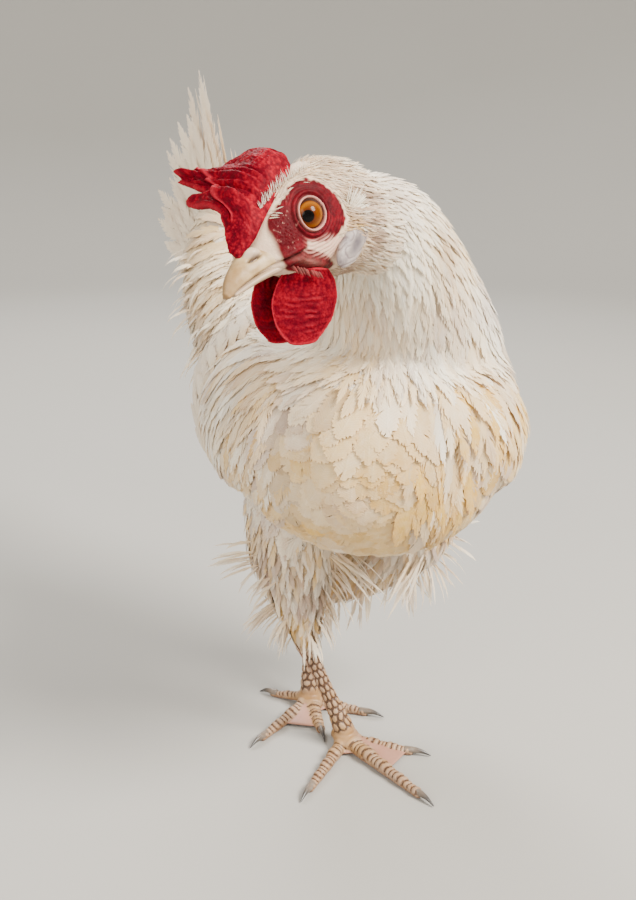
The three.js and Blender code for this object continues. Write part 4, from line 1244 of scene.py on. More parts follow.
def bareShare(points):  # 1 on the bare red face, 0 where the small feathers grow
    back, over = facePlane(points)
    ragged = 0.1 * speckle(points, 3.0, 6.0, 2)
    reach = np.where(back > 0, 17, mix(15, 10.5, ease(over, 0, 8)))
    patch = np.hypot(back / reach, over / np.where(over > 0, 14, 12)) + ragged
    cheek = np.hypot((back + 11.5) / 10, (over + 10) / 10.5) + ragged
    gape = np.hypot((back - 2) / 17, (over + 19) / 5.2) + ragged
    share = np.maximum.reduce([
        1 - ease(patch, 0.85, 1.1), 1 - ease(cheek, 0.75, 1.15), 0.95 * (1 - ease(gape, 0.7, 1.15)),
    ])
    share *= ease(np.abs(points[:, 1]), 3.5, 7)
    throat = (1 - ease(points[:, 2], -8, -4)) * ease(points[:, 0], -46, -38) * 0.9
    horny = 1 - ease(points[:, 0], -30, -24)  # pale again towards the bill
    return np.clip(np.maximum(share, throat), 0, 1) * mix(0.25, 1, horny)


faceColors = {
    "dark": (0.05, 0.0, 0.003), "red": (0.15, 0.0, 0.006), "bright": (0.45, 0.03, 0.045),
    "fold": (0.05, 0.001, 0.003), "pale": (0.52, 0.35, 0.25), "paler": (0.66, 0.52, 0.38), "lid": (0.66, 0.33, 0.27),
}


def faceFinish():
    graph = Graph("face_red")
    bare, fold, lid = graph.attribute("face")
    mottle = graph.noise(420.0, 4.0)
    patch = graph.noise(120.0, 3.0)
    # fold paints shade into the creases of the face
    red = graph.paint(
        faceColors, "dark", red=mottle.ramp(0.3, 0.7), bright=patch.ramp(0.55, 0.8) * 0.25, fold=fold * 0.85
    )
    pale = graph.paint(faceColors, "pale", paler=mottle)
    color = graph.blend(graph.blend(pale, red, bare.ramp(0.25, 0.8)), faceColors["lid"], lid * 0.8)
    grain = graph.cell(2600.0) * 0.6 + graph.noise(1800.0, 2.0) * 0.5
    return graph.finish(
        Base_Color=color, Roughness=0.55, Specular_IOR_Level=0.08, Subsurface_Weight=0.05,
        Subsurface_Radius=(0.004, 0.0012, 0.0008), Subsurface_Scale=0.6, Normal=graph.bump(grain, 0.5, 0.00025),
    )


teeth = {"count": 9, "from": (-33.0, 8.4, -1.8), "to": (-45.0, 9.6, -8.6), "length": 2.6, "wide": 0.75, "thick": 0.6}


def gapeTeeth():  # small soft points that hang in a row from the fold under each corner of the mouth
    parts = []
    draw = np.random.default_rng(41)
    count = teeth["count"]
    for side in (1, -1):
        for s in np.linspace(0, 1, count) + 0.03 * draw.normal(size=count):
            top = mix(np.array(teeth["from"]), np.array(teeth["to"]), s)
            length = teeth["length"] * (0.6 + 0.6 * draw.random())
            way = np.array((-0.1 - 0.3 * draw.random(), 0.3, -1.0)) * length
            taper = ((-0.3, 1.0), (0.2, 1.0), (0.6, 0.7), (1.0, 0.2))  # how far along, and how thick there
            rows = np.array([(*(top + way * k), teeth["wide"] * w, teeth["thick"] * w) for k, w in taper])
            rows = rows * (1, side, 1, 1, 1)
            parts.append(Loft(rows, hint=(1, 0, 0)).tube(8, 10, 0.0, (0.3, 0.3)))
    return joined(parts)


def buildFace():
    points, faces = headSurface(270, 300)
    rise, fold, lid = headRelief(points)
    bare = bareShare(points)
    points = points + pointNormals(points, faces) * (rise * mix(0.4, 1, bare))[:, None]
    row = gapeTeeth()
    marks = np.vstack([np.stack([bare, fold, lid], -1), np.tile((1.0, 0.0, 0.12), (len(row[0]), 1))])
    points, faces = joined([(points, faces), row])
    makePiece("face_skin", inHead(points), faces, faceFinish(), (), {"face": marks})
    print("face")


buildFace()


def headLie(points):  # the small feathers part round the eye and run back and down to the neck
    back, over = facePlane(points)
    square = np.maximum(back**2 + over**2, 70)
    bend = 120 / square**2
    return fromFacePlane(1 - bend * (back**2 - over**2), -2 * bend * back * over)


earlobe = {"x": -63.2, "y": 14.7, "z": -2.4, "radii": (5.7, 3.2, 12.6), "lean": 65, "clear": (9.5, 4.2)}


def byLobe(points):  # below 1 where the earlobe lies on the head
    lean = math.radians(earlobe["lean"])
    dx, dz = points[:, 0] - earlobe["x"], points[:, 2] - earlobe["z"]
    along, across = math.cos(lean) * dz - math.sin(lean) * dx, math.cos(lean) * dx + math.sin(lean) * dz
    long, wide = earlobe["clear"]
    return np.hypot(along / long, across / wide) + (np.abs(points[:, 1]) < 8) * 9


# strands that stand off the head: along the comb's foot, and in a fan over each ear
combFringe = {"rows": 110, "length": 4.8, "width": 0.27, "lean": 0.4, "tint": (0.0, 0.2, 0.0), "seed": 14}
earFan = {"rows": 90, "length": 8.5, "width": 0.42, "lean": 0.2, "tint": (0.0, 0.1, 0.0), "seed": 15}


def addStrands(part, ground, style, places, way, side, length):
    root = np.array([list(ground.tree.find_nearest(Vector(p))[0]) for p in inHead(places)])
    steps = np.linspace(0, 1, guideSteps + 1)[None, :, None]
    strands = root[:, None, :] + (unit(way) @ axes)[:, None, :] * length[:, None, None] * steps
    facing = np.repeat((side[:, None] * axes[1] + style["lean"] * axes[2])[:, None, :], guideSteps + 1, 1)
    part.add(bristle, strands, facing, style["width"], 0.2, -0.2, style["tint"], style["seed"])


def fringeComb(part, ground, draw):
    rows = combFringe["rows"]
    side = np.repeat((1.0, -1.0), rows)
    many = 2 * rows
    s = np.tile(np.linspace(0.12, 1, rows), 2) + 0.006 * draw.normal(size=many)
    places = np.stack([mix(-18, -60, s), side * (5.8 + 0.8 * draw.random(many)), 30 + 0 * s], -1)
    forward = 0.25 + 0.2 * draw.normal(size=many)
    way = np.stack([forward, side * (0.35 + 0.15 * draw.normal(size=many)), 1 + 0 * s], -1)
    length = combFringe["length"] * (1 + 0.25 * draw.normal(size=many))
    addStrands(part, ground, combFringe, places, way, side, length)


def fanEars(part, ground, draw):
    rows = earFan["rows"]
    side = np.repeat((1.0, -1.0), rows)
    many = 2 * rows
    turn = np.radians(np.tile(np.linspace(-25, 95, rows), 2) + 6 * draw.normal(size=many))
    deep = 2.5 * draw.random(many)
    places = fromFacePlane(18.5 + (2 + deep) * np.cos(turn), 1.5 + (3 + deep) * np.sin(turn))
    places += np.stack([eye["x"] + 0 * turn, side * 20, eye["z"] + 0 * turn], -1)
    way = fromFacePlane(np.cos(turn), 0.8 * np.sin(turn))
    way[:, 1] = side * (0.3 + 0.1 * draw.normal(size=many))
    length = earFan["length"] * (1 + 0.2 * draw.normal(size=many))
    addStrands(part, ground, earFan, places, way, side, length)


def headCoat():
    points, faces = headSurface(90, 96)
    ground = Ground(inHead(points), faces[0])
    middles = toHead(ground.middles)
    ground.comb(headLie(middles) @ axes, 2)
    back, over = facePlane(middles)
    x, width, z = middles[:, 0], np.abs(middles[:, 1]), middles[:, 2]
    ear = bell(back, 24, 6.5) * bell(over, 3, 9) * ease(width, 7, 11)
    nape = ease(-x, 66, 84)
    crown = ease(z, 22, 32)
    underComb = (width < 4.5) & (z > 10) & (x > -60)
    grows = (bareShare(middles) < 0.4) & (x < -29) & ~underComb & (x > -93) & ((z > 2) | (x < -42))
    grows &= ~((over < -8.5) & (over > -17) & (back > -8) & (back < 18) & (width > 5))  # the bare cheek
    grows &= byLobe(middles) > 1
    seeds, spots = sow(ground, 1.05 + 0.5 * nape - 0.15 * ear, grows, 11)
    draw = np.random.default_rng(12)
    many = len(seeds)
    length = (4.6 + 6.5 * ear + 8 * nape + 1.5 * crown)[seeds] * (1 + 0.18 * draw.normal(size=many))
    rise = (0.7 + 3.2 * ear + 1.2 * nape + 0.6 * crown)[seeds] * (1 + 0.3 * draw.normal(size=many))
    turn = 0.16 * draw.normal(size=many)
    guides, normals = march(ground, seeds, spots, length, turn, -0.3, rise, np.full(many, 0.85))
    ochre = 0.35 + 0.6 * bell(back, 19, 4) * bell(over, -2, 4.5) - 0.2 * nape
    shade = 0.34 + 0.9 * bell(back, 26, 7) * bell(over, 12, 2.2) + 0.8 * bell(back, 33, 3) * bell(over, -6, 6)
    shade += 0.8 * bell(back, 26, 6) * bell(over, -19, 3) + 0.25 * speckle(middles, 14, 2.0) - 0.26 * nape
    tint = np.clip(tints(ochre, 0.25 + 0.5 * ear, shade)[seeds] + 0.14 * draw.normal(size=(many, 3)), 0, 1)
    part = Coat("head_feathers", softFinish, ground=ground)
    part.add(bristle, guides, normals, (0.5 + 0.1 * ear + 0.6 * nape)[seeds], 0.3, -0.25, tint, 13)
    fringeComb(part, ground, draw)
    fanEars(part, ground, draw)
    part.build()


headCoat()


# eyes
eyeColors = {
    "brown": (0.045, 0.009, 0.0), "amber": (0.17, 0.042, 0.0), "gold": (0.26, 0.085, 0.001),
    "inner": (0.07, 0.012, 0.002), "rim": (0.02, 0.005, 0.003), "pupil": (0.002, 0.0015, 0.0015),
}


def eyeFinish():
    graph = Graph("eye_amber")
    ring, streak, pupil = graph.attribute("iris")
    spokes = graph.add("ShaderNodeCombineXYZ", None, {0: streak * 2.6, 1: ring * 0.6})
    fibre = graph.noise(30.0, 4.0, 0.6, where=spokes)
    color = graph.paint(
        eyeColors, "brown", amber=fibre.ramp(0.3, 0.7),
        gold=ring.ramp(0.45, 0.75) * (1 - ring.ramp(0.75, 0.9)) * 0.6, inner=(1 - pupil.ramp(0.36, 0.6)) * 0.85,
        rim=ring.ramp(0.78, 0.95), pupil=1 - pupil.ramp(0.33, 0.38),
    )
    return graph.finish(
        Base_Color=color, Roughness=0.25, Specular_IOR_Level=0.04, Coat_Weight=0.3, Coat_Roughness=0.02, Coat_IOR=1.33
    )


eyeMaterial = eyeFinish()


def buildEye(name, side):
    rings, sides = 72, 72
    axis = gaze(side, eye["lookAhead"])
    right = np.cross(axis, up)
    polar = np.linspace(0.004, math.pi - 0.004, rings)[:, None]
    turn = np.linspace(0, math.tau, sides, endpoint=False)[None, :]
    radius = eye["ball"] * (1 + 0.05 * bell(np.degrees(polar), 0, 30))
    centre = np.array((eye["x"], side * eye["ballY"], eye["z"]))
    spokes = np.cos(turn)[..., None] * right + np.sin(turn)[..., None] * up
    ball = centre + radius[..., None] * (np.cos(polar)[..., None] * axis + np.sin(polar)[..., None] * spokes)
    points, faces = capped(ball)
    if side > 0:
        faces = [f[:, ::-1] for f in faces]
    way = unit(points - centre)
    ring = np.degrees(np.arccos(np.clip(way @ axis, -1, 1))) / eye["iris"]
    pupil = np.degrees(np.arccos(np.clip(way @ gaze(side, eye["pupilAhead"]), -1, 1))) / eye["iris"]
    streak = np.append(np.broadcast_to(turn, (rings, sides)).ravel(), (0, 0))
    iris = np.stack([ring, streak, pupil], -1)
    makePiece(name, inHead(points), faces, eyeMaterial, (name,), {"iris": iris})


for name, side in (("left", 1), ("right", -1)):
    buildEye(f"eye_{name}", side)


# bill
billColors = {
    "dark": (0.28, 0.17, 0.065), "pale": (0.48, 0.34, 0.18), "tip": (0.17, 0.08, 0.025), "flesh": (0.52, 0.39, 0.3),
    "crease": (0.035, 0.015, 0.01),
}
billRows = {  # x, y, z, half width, height above and below
    "upper": [
        (-31, 0, 4.6, 8.7, 7.7, 1.7), (-27, 0, 4.4, 8.2, 7.6, 1.6), (-20, 0, 3.9, 7.4, 7.7, 1.5),
        (-13, 0, 2.9, 6, 6.7, 1.4), (-6, 0, 1.2, 4, 4.4, 1.4), (-1.5, 0, -1.0, 1.8, 2.0, 1.5),
    ],
    "lower": [
        (-31, 0, 0.7, 7.6, 2.2, 3.2), (-28, 0, 0.6, 7.0, 2.2, 2.9), (-19, 0, 0.2, 5.6, 2.1, 2.3),
        (-11, 0, -0.8, 3.9, 1.7, 1.8), (-5, 0, -1.9, 2.2, 1.2, 1.2),
    ],
}


def hornFinish():
    graph = Graph("bill_horn")
    tone, crease, flesh = graph.attribute("horn")
    streaks = graph.noise(160.0, 4.0, 0.6)
    # crease is painted shade in the nostril under its flap
    color = graph.paint(
        billColors, "dark", pale=streaks.ramp(0.25, 0.75), tip=tone * 0.75, flesh=flesh.ramp(0.3, 1.0) * 0.8,
        crease=crease * 0.95,
    )
    height = graph.noise(900.0, 3.0) * 0.5 + streaks * 0.5
    return graph.finish(
        Base_Color=color, Roughness=0.42, Specular_IOR_Level=0.35, Subsurface_Weight=0.06, Subsurface_Scale=0.4,
        Subsurface_Radius=(0.003, 0.002, 0.001), Normal=graph.bump(height, 0.25, 0.0002),
    )


hornMaterial = hornFinish()


def buildBill():
    points, faces = Loft(billRows["upper"], fullness=1.9).tube(130, 96, 0.0, (2, 1.4))
    out = pointNormals(points, faces)
    x, z = points[:, 0], points[:, 2]
    flap = np.hypot((x + 17.0) / 4.6, (z - 10.2) / 2.1)  # of the nostril, and the nostril under it
    hole = np.hypot((x + 16.4) / 4.4, (z - 8.1 + 0.1 * (x + 16.4)) / 0.75)
    sides = ease(np.abs(points[:, 1]), 1.2, 2.6)
    rise = sides * (1.9 * (1 - ease(flap, 0.25, 1.0)) - 1.9 * (1 - ease(hole, 0.3, 1.0)))
    edge = np.interp(x, (-27, -20, -13, -6, -1.5), (2.8, 2.4, 1.5, -0.2, -2.5))  # it stands a little proud
    rise += 0.35 * bell(z, edge + 0.7, 0.7) * (np.abs(points[:, 1]) > 1)
    rise += 0.12 * speckle(points, 3.5, 5.0, 2)
    # the nostril slit under the flap is painted dark as shade
    crease = sides * (1 - ease(hole, 0.45, 1.15))
    flesh = sides * (1 - ease(flap, 0.6, 1.2)) + ease(-x, 22, 26) * 0.8
    tone = ease(x, -12, 0) * 0.7 + 0.3 * bell(z, edge + 0.4, 0.8)
    points = points + out * rise[:, None]
    horn = np.clip(np.stack([tone, crease, flesh], -1), 0, 1)
    makePiece("bill_upper", inHead(points), faces, hornMaterial, ("bill_upper",), {"horn": horn})
    points, faces = Loft(billRows["lower"]).tube(90, 72, -0.1, (2, 1.2))
    pink = 0.75 + 0.25 * speckle(points, 6.0, 2.0)
    horn = np.stack([0.2 + 0 * pink, 0 * pink, pink], -1)
    makePiece("bill_lower", inHead(points), faces, hornMaterial, ("bill_lower",), {"horn": horn})


buildBill()


# comb, wattles and earlobes
# pale is a painted highlight on the tops of the papillae, pit is painted shade between them, deep is painted shade in
# creases, grooves and ripples, and rim is a painted highlight along edges and folds
fleshColors = {
    "dark": (0.08, 0.0, 0.005), "bright": (0.3, 0.0, 0.011), "pale": (0.46, 0.018, 0.035),
    "pit": (0.08, 0.0, 0.005), "deep": (0.08, 0.0, 0.005), "rim": (0.46, 0.018, 0.035),
}


def fleshFinish():
    graph = Graph("comb_red")
    pit, rim, deep = graph.attribute("flesh")
    mottle = graph.noise(300.0, 4.0)
    color = graph.paint(
        fleshColors, "dark", bright=mottle.ramp(0.25, 0.75), pale=(1 - pit).ramp(0.55, 1.0) * 0.3,
        pit=pit.ramp(0.4, 0.9) * 0.8, deep=deep * 0.75, rim=rim * 0.6,
    )
    grain = graph.cell(1500.0) * 0.7 + graph.noise(2600.0, 2.0) * 0.3
    return graph.finish(
        Base_Color=color, Roughness=0.6, Specular_IOR_Level=0.06, Subsurface_Weight=0.05,
        Subsurface_Radius=(0.005, 0.0012, 0.0008), Subsurface_Scale=0.6, Normal=graph.bump(grain, 0.6, 0.0003),
    )


redFlesh = fleshFinish()
comb = {
    "front": (-13, 0, 9), "back": (-56, 0, 34.5), "arch": 1.5, "upright": 8, "base": 11, "edge": 2.6,
    "rows": 280, "columns": 130,
    "rim": [  # from the front back, how far the blade reaches and how many degrees it lies over
        (6, 66), (9, 68), (12, 60), (16, 60), (20, 62), (38, 88), (46, 92), (33, 78), (44, 76), (55, 80), (58, 78),
        (56, 80), (47, 82), (41, 86), (38, 92), (31, 88), (26, 86), (21, 76), (15, 62), (9, 32), (5, 12),
    ],
    "roll": [  # how far up the blade its fold runs, from the front back
        (0.1, 0.7), (0.25, 0.62), (0.3, 0.6), (0.35, 0.78), (0.4, 0.66), (0.46, 0.66), (0.52, 0.72), (0.6, 0.97),
    ],
    "fingers": (0.405, 0.6, 3),
}


def combFingers(s):  # 0 in the notches between the comb's short points, 1 on them
    start, end, count = comb["fingers"]
    inside = ease(s, start - 0.02, start + 0.01) * (1 - ease(s, end - 0.01, end + 0.02))
    return inside * (0.5 - 0.5 * np.cos(math.tau * count * (s - start) / (end - start))), inside


def combLines(face):
    s = np.linspace(0, 1, comb["rows"])
    ends = np.minimum(1, 0.3 + 4 * np.minimum(s, 1 - s))
    reach, lieOver = spline(comb["rim"], s).T
    finger, inside = combFingers(s)
    reach = reach - 6 * inside * (1 - finger)
    back = ease(s, 0.55, 1)
    columns = comb["columns"]
    r = np.linspace(0, 1, columns)
    over = mix(mix(0.6, 0.34, ease(s, 0.3, 0.42)), 0.73, ease(s, 0.52, 0.9))
    bent = ease(r[None, :], mix(0, 0.22, back)[:, None], over[:, None])
    turn = np.radians(mix(comb["upright"], lieOver[:, None], bent))
    step = (reach / (columns - 1))[:, None]
    move = np.stack([-0.12 * step * np.ones_like(turn), -np.sin(turn) * step, np.cos(turn) * step], -1)
    move[:, 0] = 0
    base = mix(np.array(comb["front"], float), np.array(comb["back"], float), s[:, None])
    base[:, 2] += comb["arch"] * np.sin(math.pi * s)
    at = base[:, None, :] + np.cumsum(move, 1)
    half = mix(comb["base"], comb["edge"], r[None, :] ** 0.45) / 2 * ends[:, None]
    half = half * np.sqrt(np.clip(1 - ease(r, 0.9, 1.0)[None, :] ** 2 * 0.96, 0, 1))
    out = np.stack([np.zeros_like(turn), np.cos(turn), np.sin(turn)], -1)
    return at + out * (face * half)[..., None], s, r


def buildComb():
    front, s, r = combLines(1)
    points, faces = walled(front, combLines(-1)[0])
    faces = outward(points, faces)
    out = pointNormals(points, faces)
    pimple = cells(points, 1.25)
    wave = speckle(points, 9.0, 2.0, 2)
    s, r = (np.tile(a.ravel(), 2) for a in np.meshgrid(s, r, indexing="ij"))
    share = ease(r, 0.02, 0.12)
    finger, inside = combFingers(s)
    groove = inside * (1 - finger) ** 2 * ease(r, 0.7, 0.9)
    rollPlace, rollSpan = np.interp(s, *np.array(comb["roll"]).T), ease(s, 0.12, 0.2) * (1 - ease(s, 0.56, 0.62))
    rolled = rollSpan * bell(r, rollPlace - 0.035, 0.035)
    crease = rollSpan * bell(r, rollPlace + 0.03, 0.025)
    rise = share * (0.42 * (0.55 - pimple) + 0.7 * wave - 0.9 * groove + 0.9 * rolled - 1.0 * crease)
    points = points + out * rise[:, None]
    # edge is a painted highlight along the rolled fold and the blade's edge; deep paints shade into the crease and
    # the grooves, and darkens where the waves rise
    edge = np.clip(ease(r, 0.93, 1.0) * 0.6 + 0.8 * rolled, 0, 1)
    deep = np.clip(crease + groove + 0.5 * ease(wave, 0.0, 0.5), 0, 1)
    flesh = np.stack([np.clip(pimple * 1.1, 0, 1), edge, deep], -1)
    makePiece("comb", inHead(points), faces, redFlesh, ("comb",), {"flesh": flesh})


buildComb()

wattle = {"drop": 27, "halfWidth": 15.6, "thick": 3.8, "faceTurn": 3}
wattleTops = {"left": (-41, 5, -9), "right": (-38, -3, -6.5)}


def buildWattle(side):
    top = inHead(wattleTops[side])
    turn = math.radians(wattle["faceTurn"])
    out = np.array((math.sin(turn), -math.cos(turn), 0.0))
    rows = []
    for s in (0, 0.15, 0.4, 0.65, 0.85, 0.97):
        width = wattle["halfWidth"] * math.sin(math.pi * mix(0.2, 0.93, s)) ** 0.6
        rows.append((*(top - up * mix(-3, wattle["drop"], s) - out * 3 * s), width, wattle["thick"] / 2))
    loft = Loft(rows, hint=out, fullness=2.3)
    points, faces = loft.tube(130, 170, 0.0, (2, 2))
    normals = pointNormals(points, faces)
    delta = points - top
    across = dot(delta, np.cross(up, out))
    down = -delta[:, 2]
    pimple = cells(points, 1.15)
    facing = np.abs(dot(normals, out))
    inside = ease(facing, 0.55, 0.97)
    middle = inside * bell(across, 0, 11) * ease(down, 4, 10) * (1 - ease(down, 21, 26))
    drift = 0.55 * speckle(points, 8.0, 5.0, 2)
    ripple = np.cos(math.tau * (down / 2.9 + drift + (across / 17) ** 2))
    ripple *= np.clip(0.8 + speckle(points, 6.0, 8.0), 0, 1)
    pleats = np.cos(math.tau * (across / 3.4 + drift)) * inside * (1 - ease(down, 0, 7))
    rise = 0.32 * ripple * middle + 0.3 * pleats - 0.9 * inside + 0.26 * (0.5 - pimple)
    points = points + normals * (rise + 0.5 * speckle(points, 8.0, 2.0))[:, None]
    # deep is darker over the flat faces and their middle and paints shade into the troughs of the ripples; the rim
    # takes a painted highlight
    deep = np.clip(0.3 * inside + 0.35 * middle + 0.5 * middle * (0.2 - ripple), 0, 1)
    flesh = np.stack([pimple, 0.8 * (1 - inside), deep], -1)
    name = f"wattle_{side}"
    makePiece(name, points, faces, redFlesh, (name,), {"flesh": flesh})


for side in ("left", "right"):
    buildWattle(side)


# hollow and fold are painted shade in the earlobe's hollow and among its folds
lobeColors = {"pale": (0.32, 0.27, 0.25), "grey": (0.13, 0.1, 0.11), "hollow": (0.055, 0.045, 0.06),
              "fold": (0.1, 0.06, 0.07)}


def lobeFinish():
    graph = Graph("earlobe_white")
    fold, hollow = graph.attribute("flesh")[:2]
    tone = graph.noise(200.0, 4.0)
    color = graph.paint(
        lobeColors, "pale", grey=tone.ramp(0.4, 0.7) * 0.7, hollow=hollow * 0.75, fold=fold.ramp(0.2, 0.9) * 0.7
    )
    return graph.finish(
        Base_Color=color, Roughness=0.5, Subsurface_Weight=0.1, Subsurface_Scale=0.5,
        Subsurface_Radius=(0.003, 0.002, 0.002), Normal=graph.bump(graph.cell(1700.0), 0.4, 0.0002),
    )


lobeMaterial = lobeFinish()


def buildEarlobe(name, side):
    polar = np.linspace(0.02, math.pi - 0.02, 70)[:, None]
    turn = np.linspace(0, math.tau, 90, endpoint=False)[None, :]
    wide, thick, tall = earlobe["radii"]
    ball = np.stack(np.broadcast_arrays(
        wide * np.sin(polar) * np.cos(turn), thick * np.sin(polar) * np.sin(turn), tall * np.cos(polar)), -1)
    points, faces = capped(ball)
    faces = outward(points, faces)
    out = pointNormals(points, faces)
    inner = np.hypot((points[:, 0] + 0.6) / wide, points[:, 2] / tall)
    # the hollow is sunk and painted darker as shade, and the fold rings are painted shade too
    hollow = 1 - ease(inner, 0.15, 0.75)
    warp = 1.1 * speckle(points, 7, 1.0, 2)
    fold = (0.5 + 0.5 * np.cos(math.tau * (inner * 3.2 + warp))) ** 3 * ease(inner, 0.3, 0.6) * 0.8
    rise = -0.9 * hollow * (np.abs(out[:, 1]) > 0.3) - 0.3 * fold + 0.5 * speckle(points, 5.0, 3.0)
    points = points + out * rise[:, None]
    lean = math.radians(-earlobe["lean"])
    spin = np.array(((math.cos(lean), 0, -math.sin(lean)), (0, 1, 0), (math.sin(lean), 0, math.cos(lean))))
    points = points @ spin + np.array((earlobe["x"], side * earlobe["y"], earlobe["z"]))
    flesh = np.stack([fold, hollow, 0 * fold], -1)
    makePiece(name, inHead(points), faces, lobeMaterial, (name,), {"flesh": flesh})


for name, side in (("left", 1), ("right", -1)):
    buildEarlobe(f"earlobe_{name}", side)
print("head")


# feet
foot = {"hubHeight": 8, "claw": 13, "voxel": 0.52, "web": {"left": (28, 12), "right": (37, 12)}, "floor": 0.15,
        "lowest": 0.02}
toes = {
    "inner": {"radius": 4.4, "joints": 3, "scutes": 12}, "middle": {"radius": 4.9, "joints": 4, "scutes": 16},
    "outer": {"radius": 4.3, "joints": 4, "scutes": 14}, "hind": {"radius": 3.5, "joints": 2, "scutes": 7},
}


legColors = {
    "brown": (0.22, 0.1, 0.03), "tan": (0.32, 0.2, 0.12), "scute": (0.42, 0.3, 0.21), "yellow": (0.34, 0.18, 0.045),
    "web": (0.36, 0.17, 0.13), "gap": (0.05, 0.022, 0.012), "under": (0.3, 0.13, 0.08),
}
clawColors = {"root": (0.17, 0.13, 0.1), "tip": (0.045, 0.042, 0.042), "streak": (0.3, 0.28, 0.26)}


def legFinish():
    graph = Graph("leg_scales")
    scute, under, web = graph.attribute("scale")
    tone = graph.noise(130.0, 4.0)
    color = graph.paint(
        legColors, "brown", tan=tone.ramp(0.35, 0.65), scute=scute.ramp(0.5, 1.0) * 0.55,
        yellow=graph.noise(45.0, 2.0).ramp(0.5, 0.68) * 0.5, web=web * 0.75,
        gap=(1 - scute).ramp(0.28, 0.62) * 0.9, under=under * 0.6,
    )
    grain = graph.noise(1500.0, 3.0) * 0.6 + graph.cell(1900.0) * 0.4
    bumps = graph.bump(grain, 0.4, 0.0002)
    return graph.finish(Base_Color=color, Roughness=0.46, Specular_IOR_Level=0.4, Normal=bumps)


legMaterial = legFinish()


def clawFinish():
    graph = Graph("claw_grey")
    along = graph.attribute("claw")[0]
    streak = graph.noise(400.0, 3.0)
    color = graph.paint(clawColors, "root", tip=along.ramp(0.05, 0.8), streak=streak.ramp(0.5, 0.75) * 0.35)
    return graph.finish(Base_Color=color, Roughness=0.3, Normal=graph.bump(streak, 0.2, 0.0002))


clawMaterial = clawFinish()


def hexScale(x, y):  # 0 on the borders of a honeycomb of unit cells, 1 in their middles
    best = np.full(x.shape, 9.0)
    second = np.full(x.shape, 9.0)
    row = np.floor(y / 0.866)
    for dy in (-1, 0, 1, 2):
        yy = row + dy
        offset = 0.5 * (yy % 2)
        column = np.floor(x - offset)
        for dx in (0, 1):
            d = np.hypot(x - offset - column - dx, y - yy * 0.866)
            second = np.minimum(second, np.maximum(best, d))
            best = np.minimum(best, d)
    return ease(second - best, 0.02, 0.5)


def toeLine(leg, name):
    degrees, tipReach = leg["toes"][name]
    turn = math.radians(degrees)
    out = np.array((-math.sin(turn), -math.cos(turn), 0.0))
    claw = foot["claw"] * (0.8 if name == "hind" else 1)
    return out, tipReach - claw, claw


def toeLoft(leg, name):
    out, length, _ = toeLine(leg, name)
    hub = np.array(leg["hub"], float)
    rows = []
    joints = toes[name]["joints"]
    count = 6 * joints + 1
    for i in range(count):
        s = i / (count - 1)
        pad = 0.5 + 0.5 * math.cos(math.tau * s * joints)
        radius = toes[name]["radius"] * mix(1.02, 0.56, s) * (0.92 + 0.14 * pad)
        lift = 2 * (1 - s) if name == "hind" else 0
        at = hub + out * mix(6.0, length + 0.5, s)
        rows.append((at[0], at[1], radius * 0.98 - 0.3 + lift, radius, radius))
    return Loft(rows)


shank = {"across": 6.4, "deep": 7.0, "waist": 0.66, "scutesRound": 8, "scuteLength": 5.8, "relief": 0.9}


def shankLoft(hock, ankle):
    rows = []
    for s in np.linspace(0, 1, 9):
        waist = mix(1, shank["waist"], math.sin(math.pi * min(1, s * 1.1)) ** 0.7)
        rows.append((*mix(hock, ankle, s), shank["across"] * waist, shank["deep"] * waist))
    return Loft(rows, hint=ahead)


def webLofts(side, hub, outs):  # the skin between the front toes
    made = []
    for first, second, spread in zip(("inner", "middle"), ("middle", "outer"), foot["web"][side]):
        between = unit(outs[first] + outs[second])
        gap = math.sqrt(max(0.0, (1 - dot(outs[first], outs[second])) / 2))  # sine of half the angle between the toes
        made.append(Loft([
            (*(hub + between * spread * s + up * mix(9, 2.4, s**0.7)), spread * s * gap + 1.5, mix(4.0, 0.8, s**0.6))
            for s in (0.05, 0.3, 0.55, 0.8, 0.93, 1.0)
        ]))
    return made


def soleLoft(hub, out):
    return Loft([(*(hub + out * -7 + up * 5.4), 5, 4.6), (*(hub + up * 6.6), 8.4, 6.4),
                 (*(hub + out * 8 + up * 5.2), 7, 4.8)])


def legScales(points, shaft, length, toeLofts, webs):  # at each point, its rise, its share of a scute and of a web
    owners, t, degrees, _ = nearness(shaft, points, 80)
    sway = 0.12 * np.sin(t * 31) + 0.3 * speckle(points, 7, 2.0)
    row = t * length / shank["scuteLength"] + 0.3 * speckle(points, 7, 9.0)
    plates = hexScale(degrees / 360 * shank["scutesRound"] + sway, row)
    end = ease(t, 0.93, 0.99)
    rise = mix(shank["relief"] * (plates - 0.65), 0, end)
    scute = mix(plates, 0.7, end)
    for name, loft in toeLofts.items():
        reach, t, degrees, _ = nearness(loft, points, 80)
        mine = (reach < owners) & (t > 0.02)
        phase = t * toes[name]["scutes"] + 0.12 * np.sin(degrees / 25)
        plate = 1 - (np.abs((phase % 1) - 0.5) * 2) ** 2.4
        top = ease(degrees, -5, 30) * (1 - ease(degrees, 150, 185))
        pebble = 1 - cells(points, 1.6)
        rise = np.where(mine, mix(0.25 * (pebble - 0.5), 0.95 * (plate - 0.7), top), rise)
        scute = np.where(mine, mix(0.4 + 0.6 * pebble, plate, top), scute)
        owners = np.where(mine, reach, owners)
    webbed = np.zeros(len(points))
    for loft in webs:
        reach, t = nearness(loft, points, 40)[:2]
        webbed = np.maximum(webbed, ease(owners - reach, 0.05, 0.35) * ease(t, 0.0, 0.2))
    return rise * (1 - webbed), mix(scute, 0.8, webbed), webbed


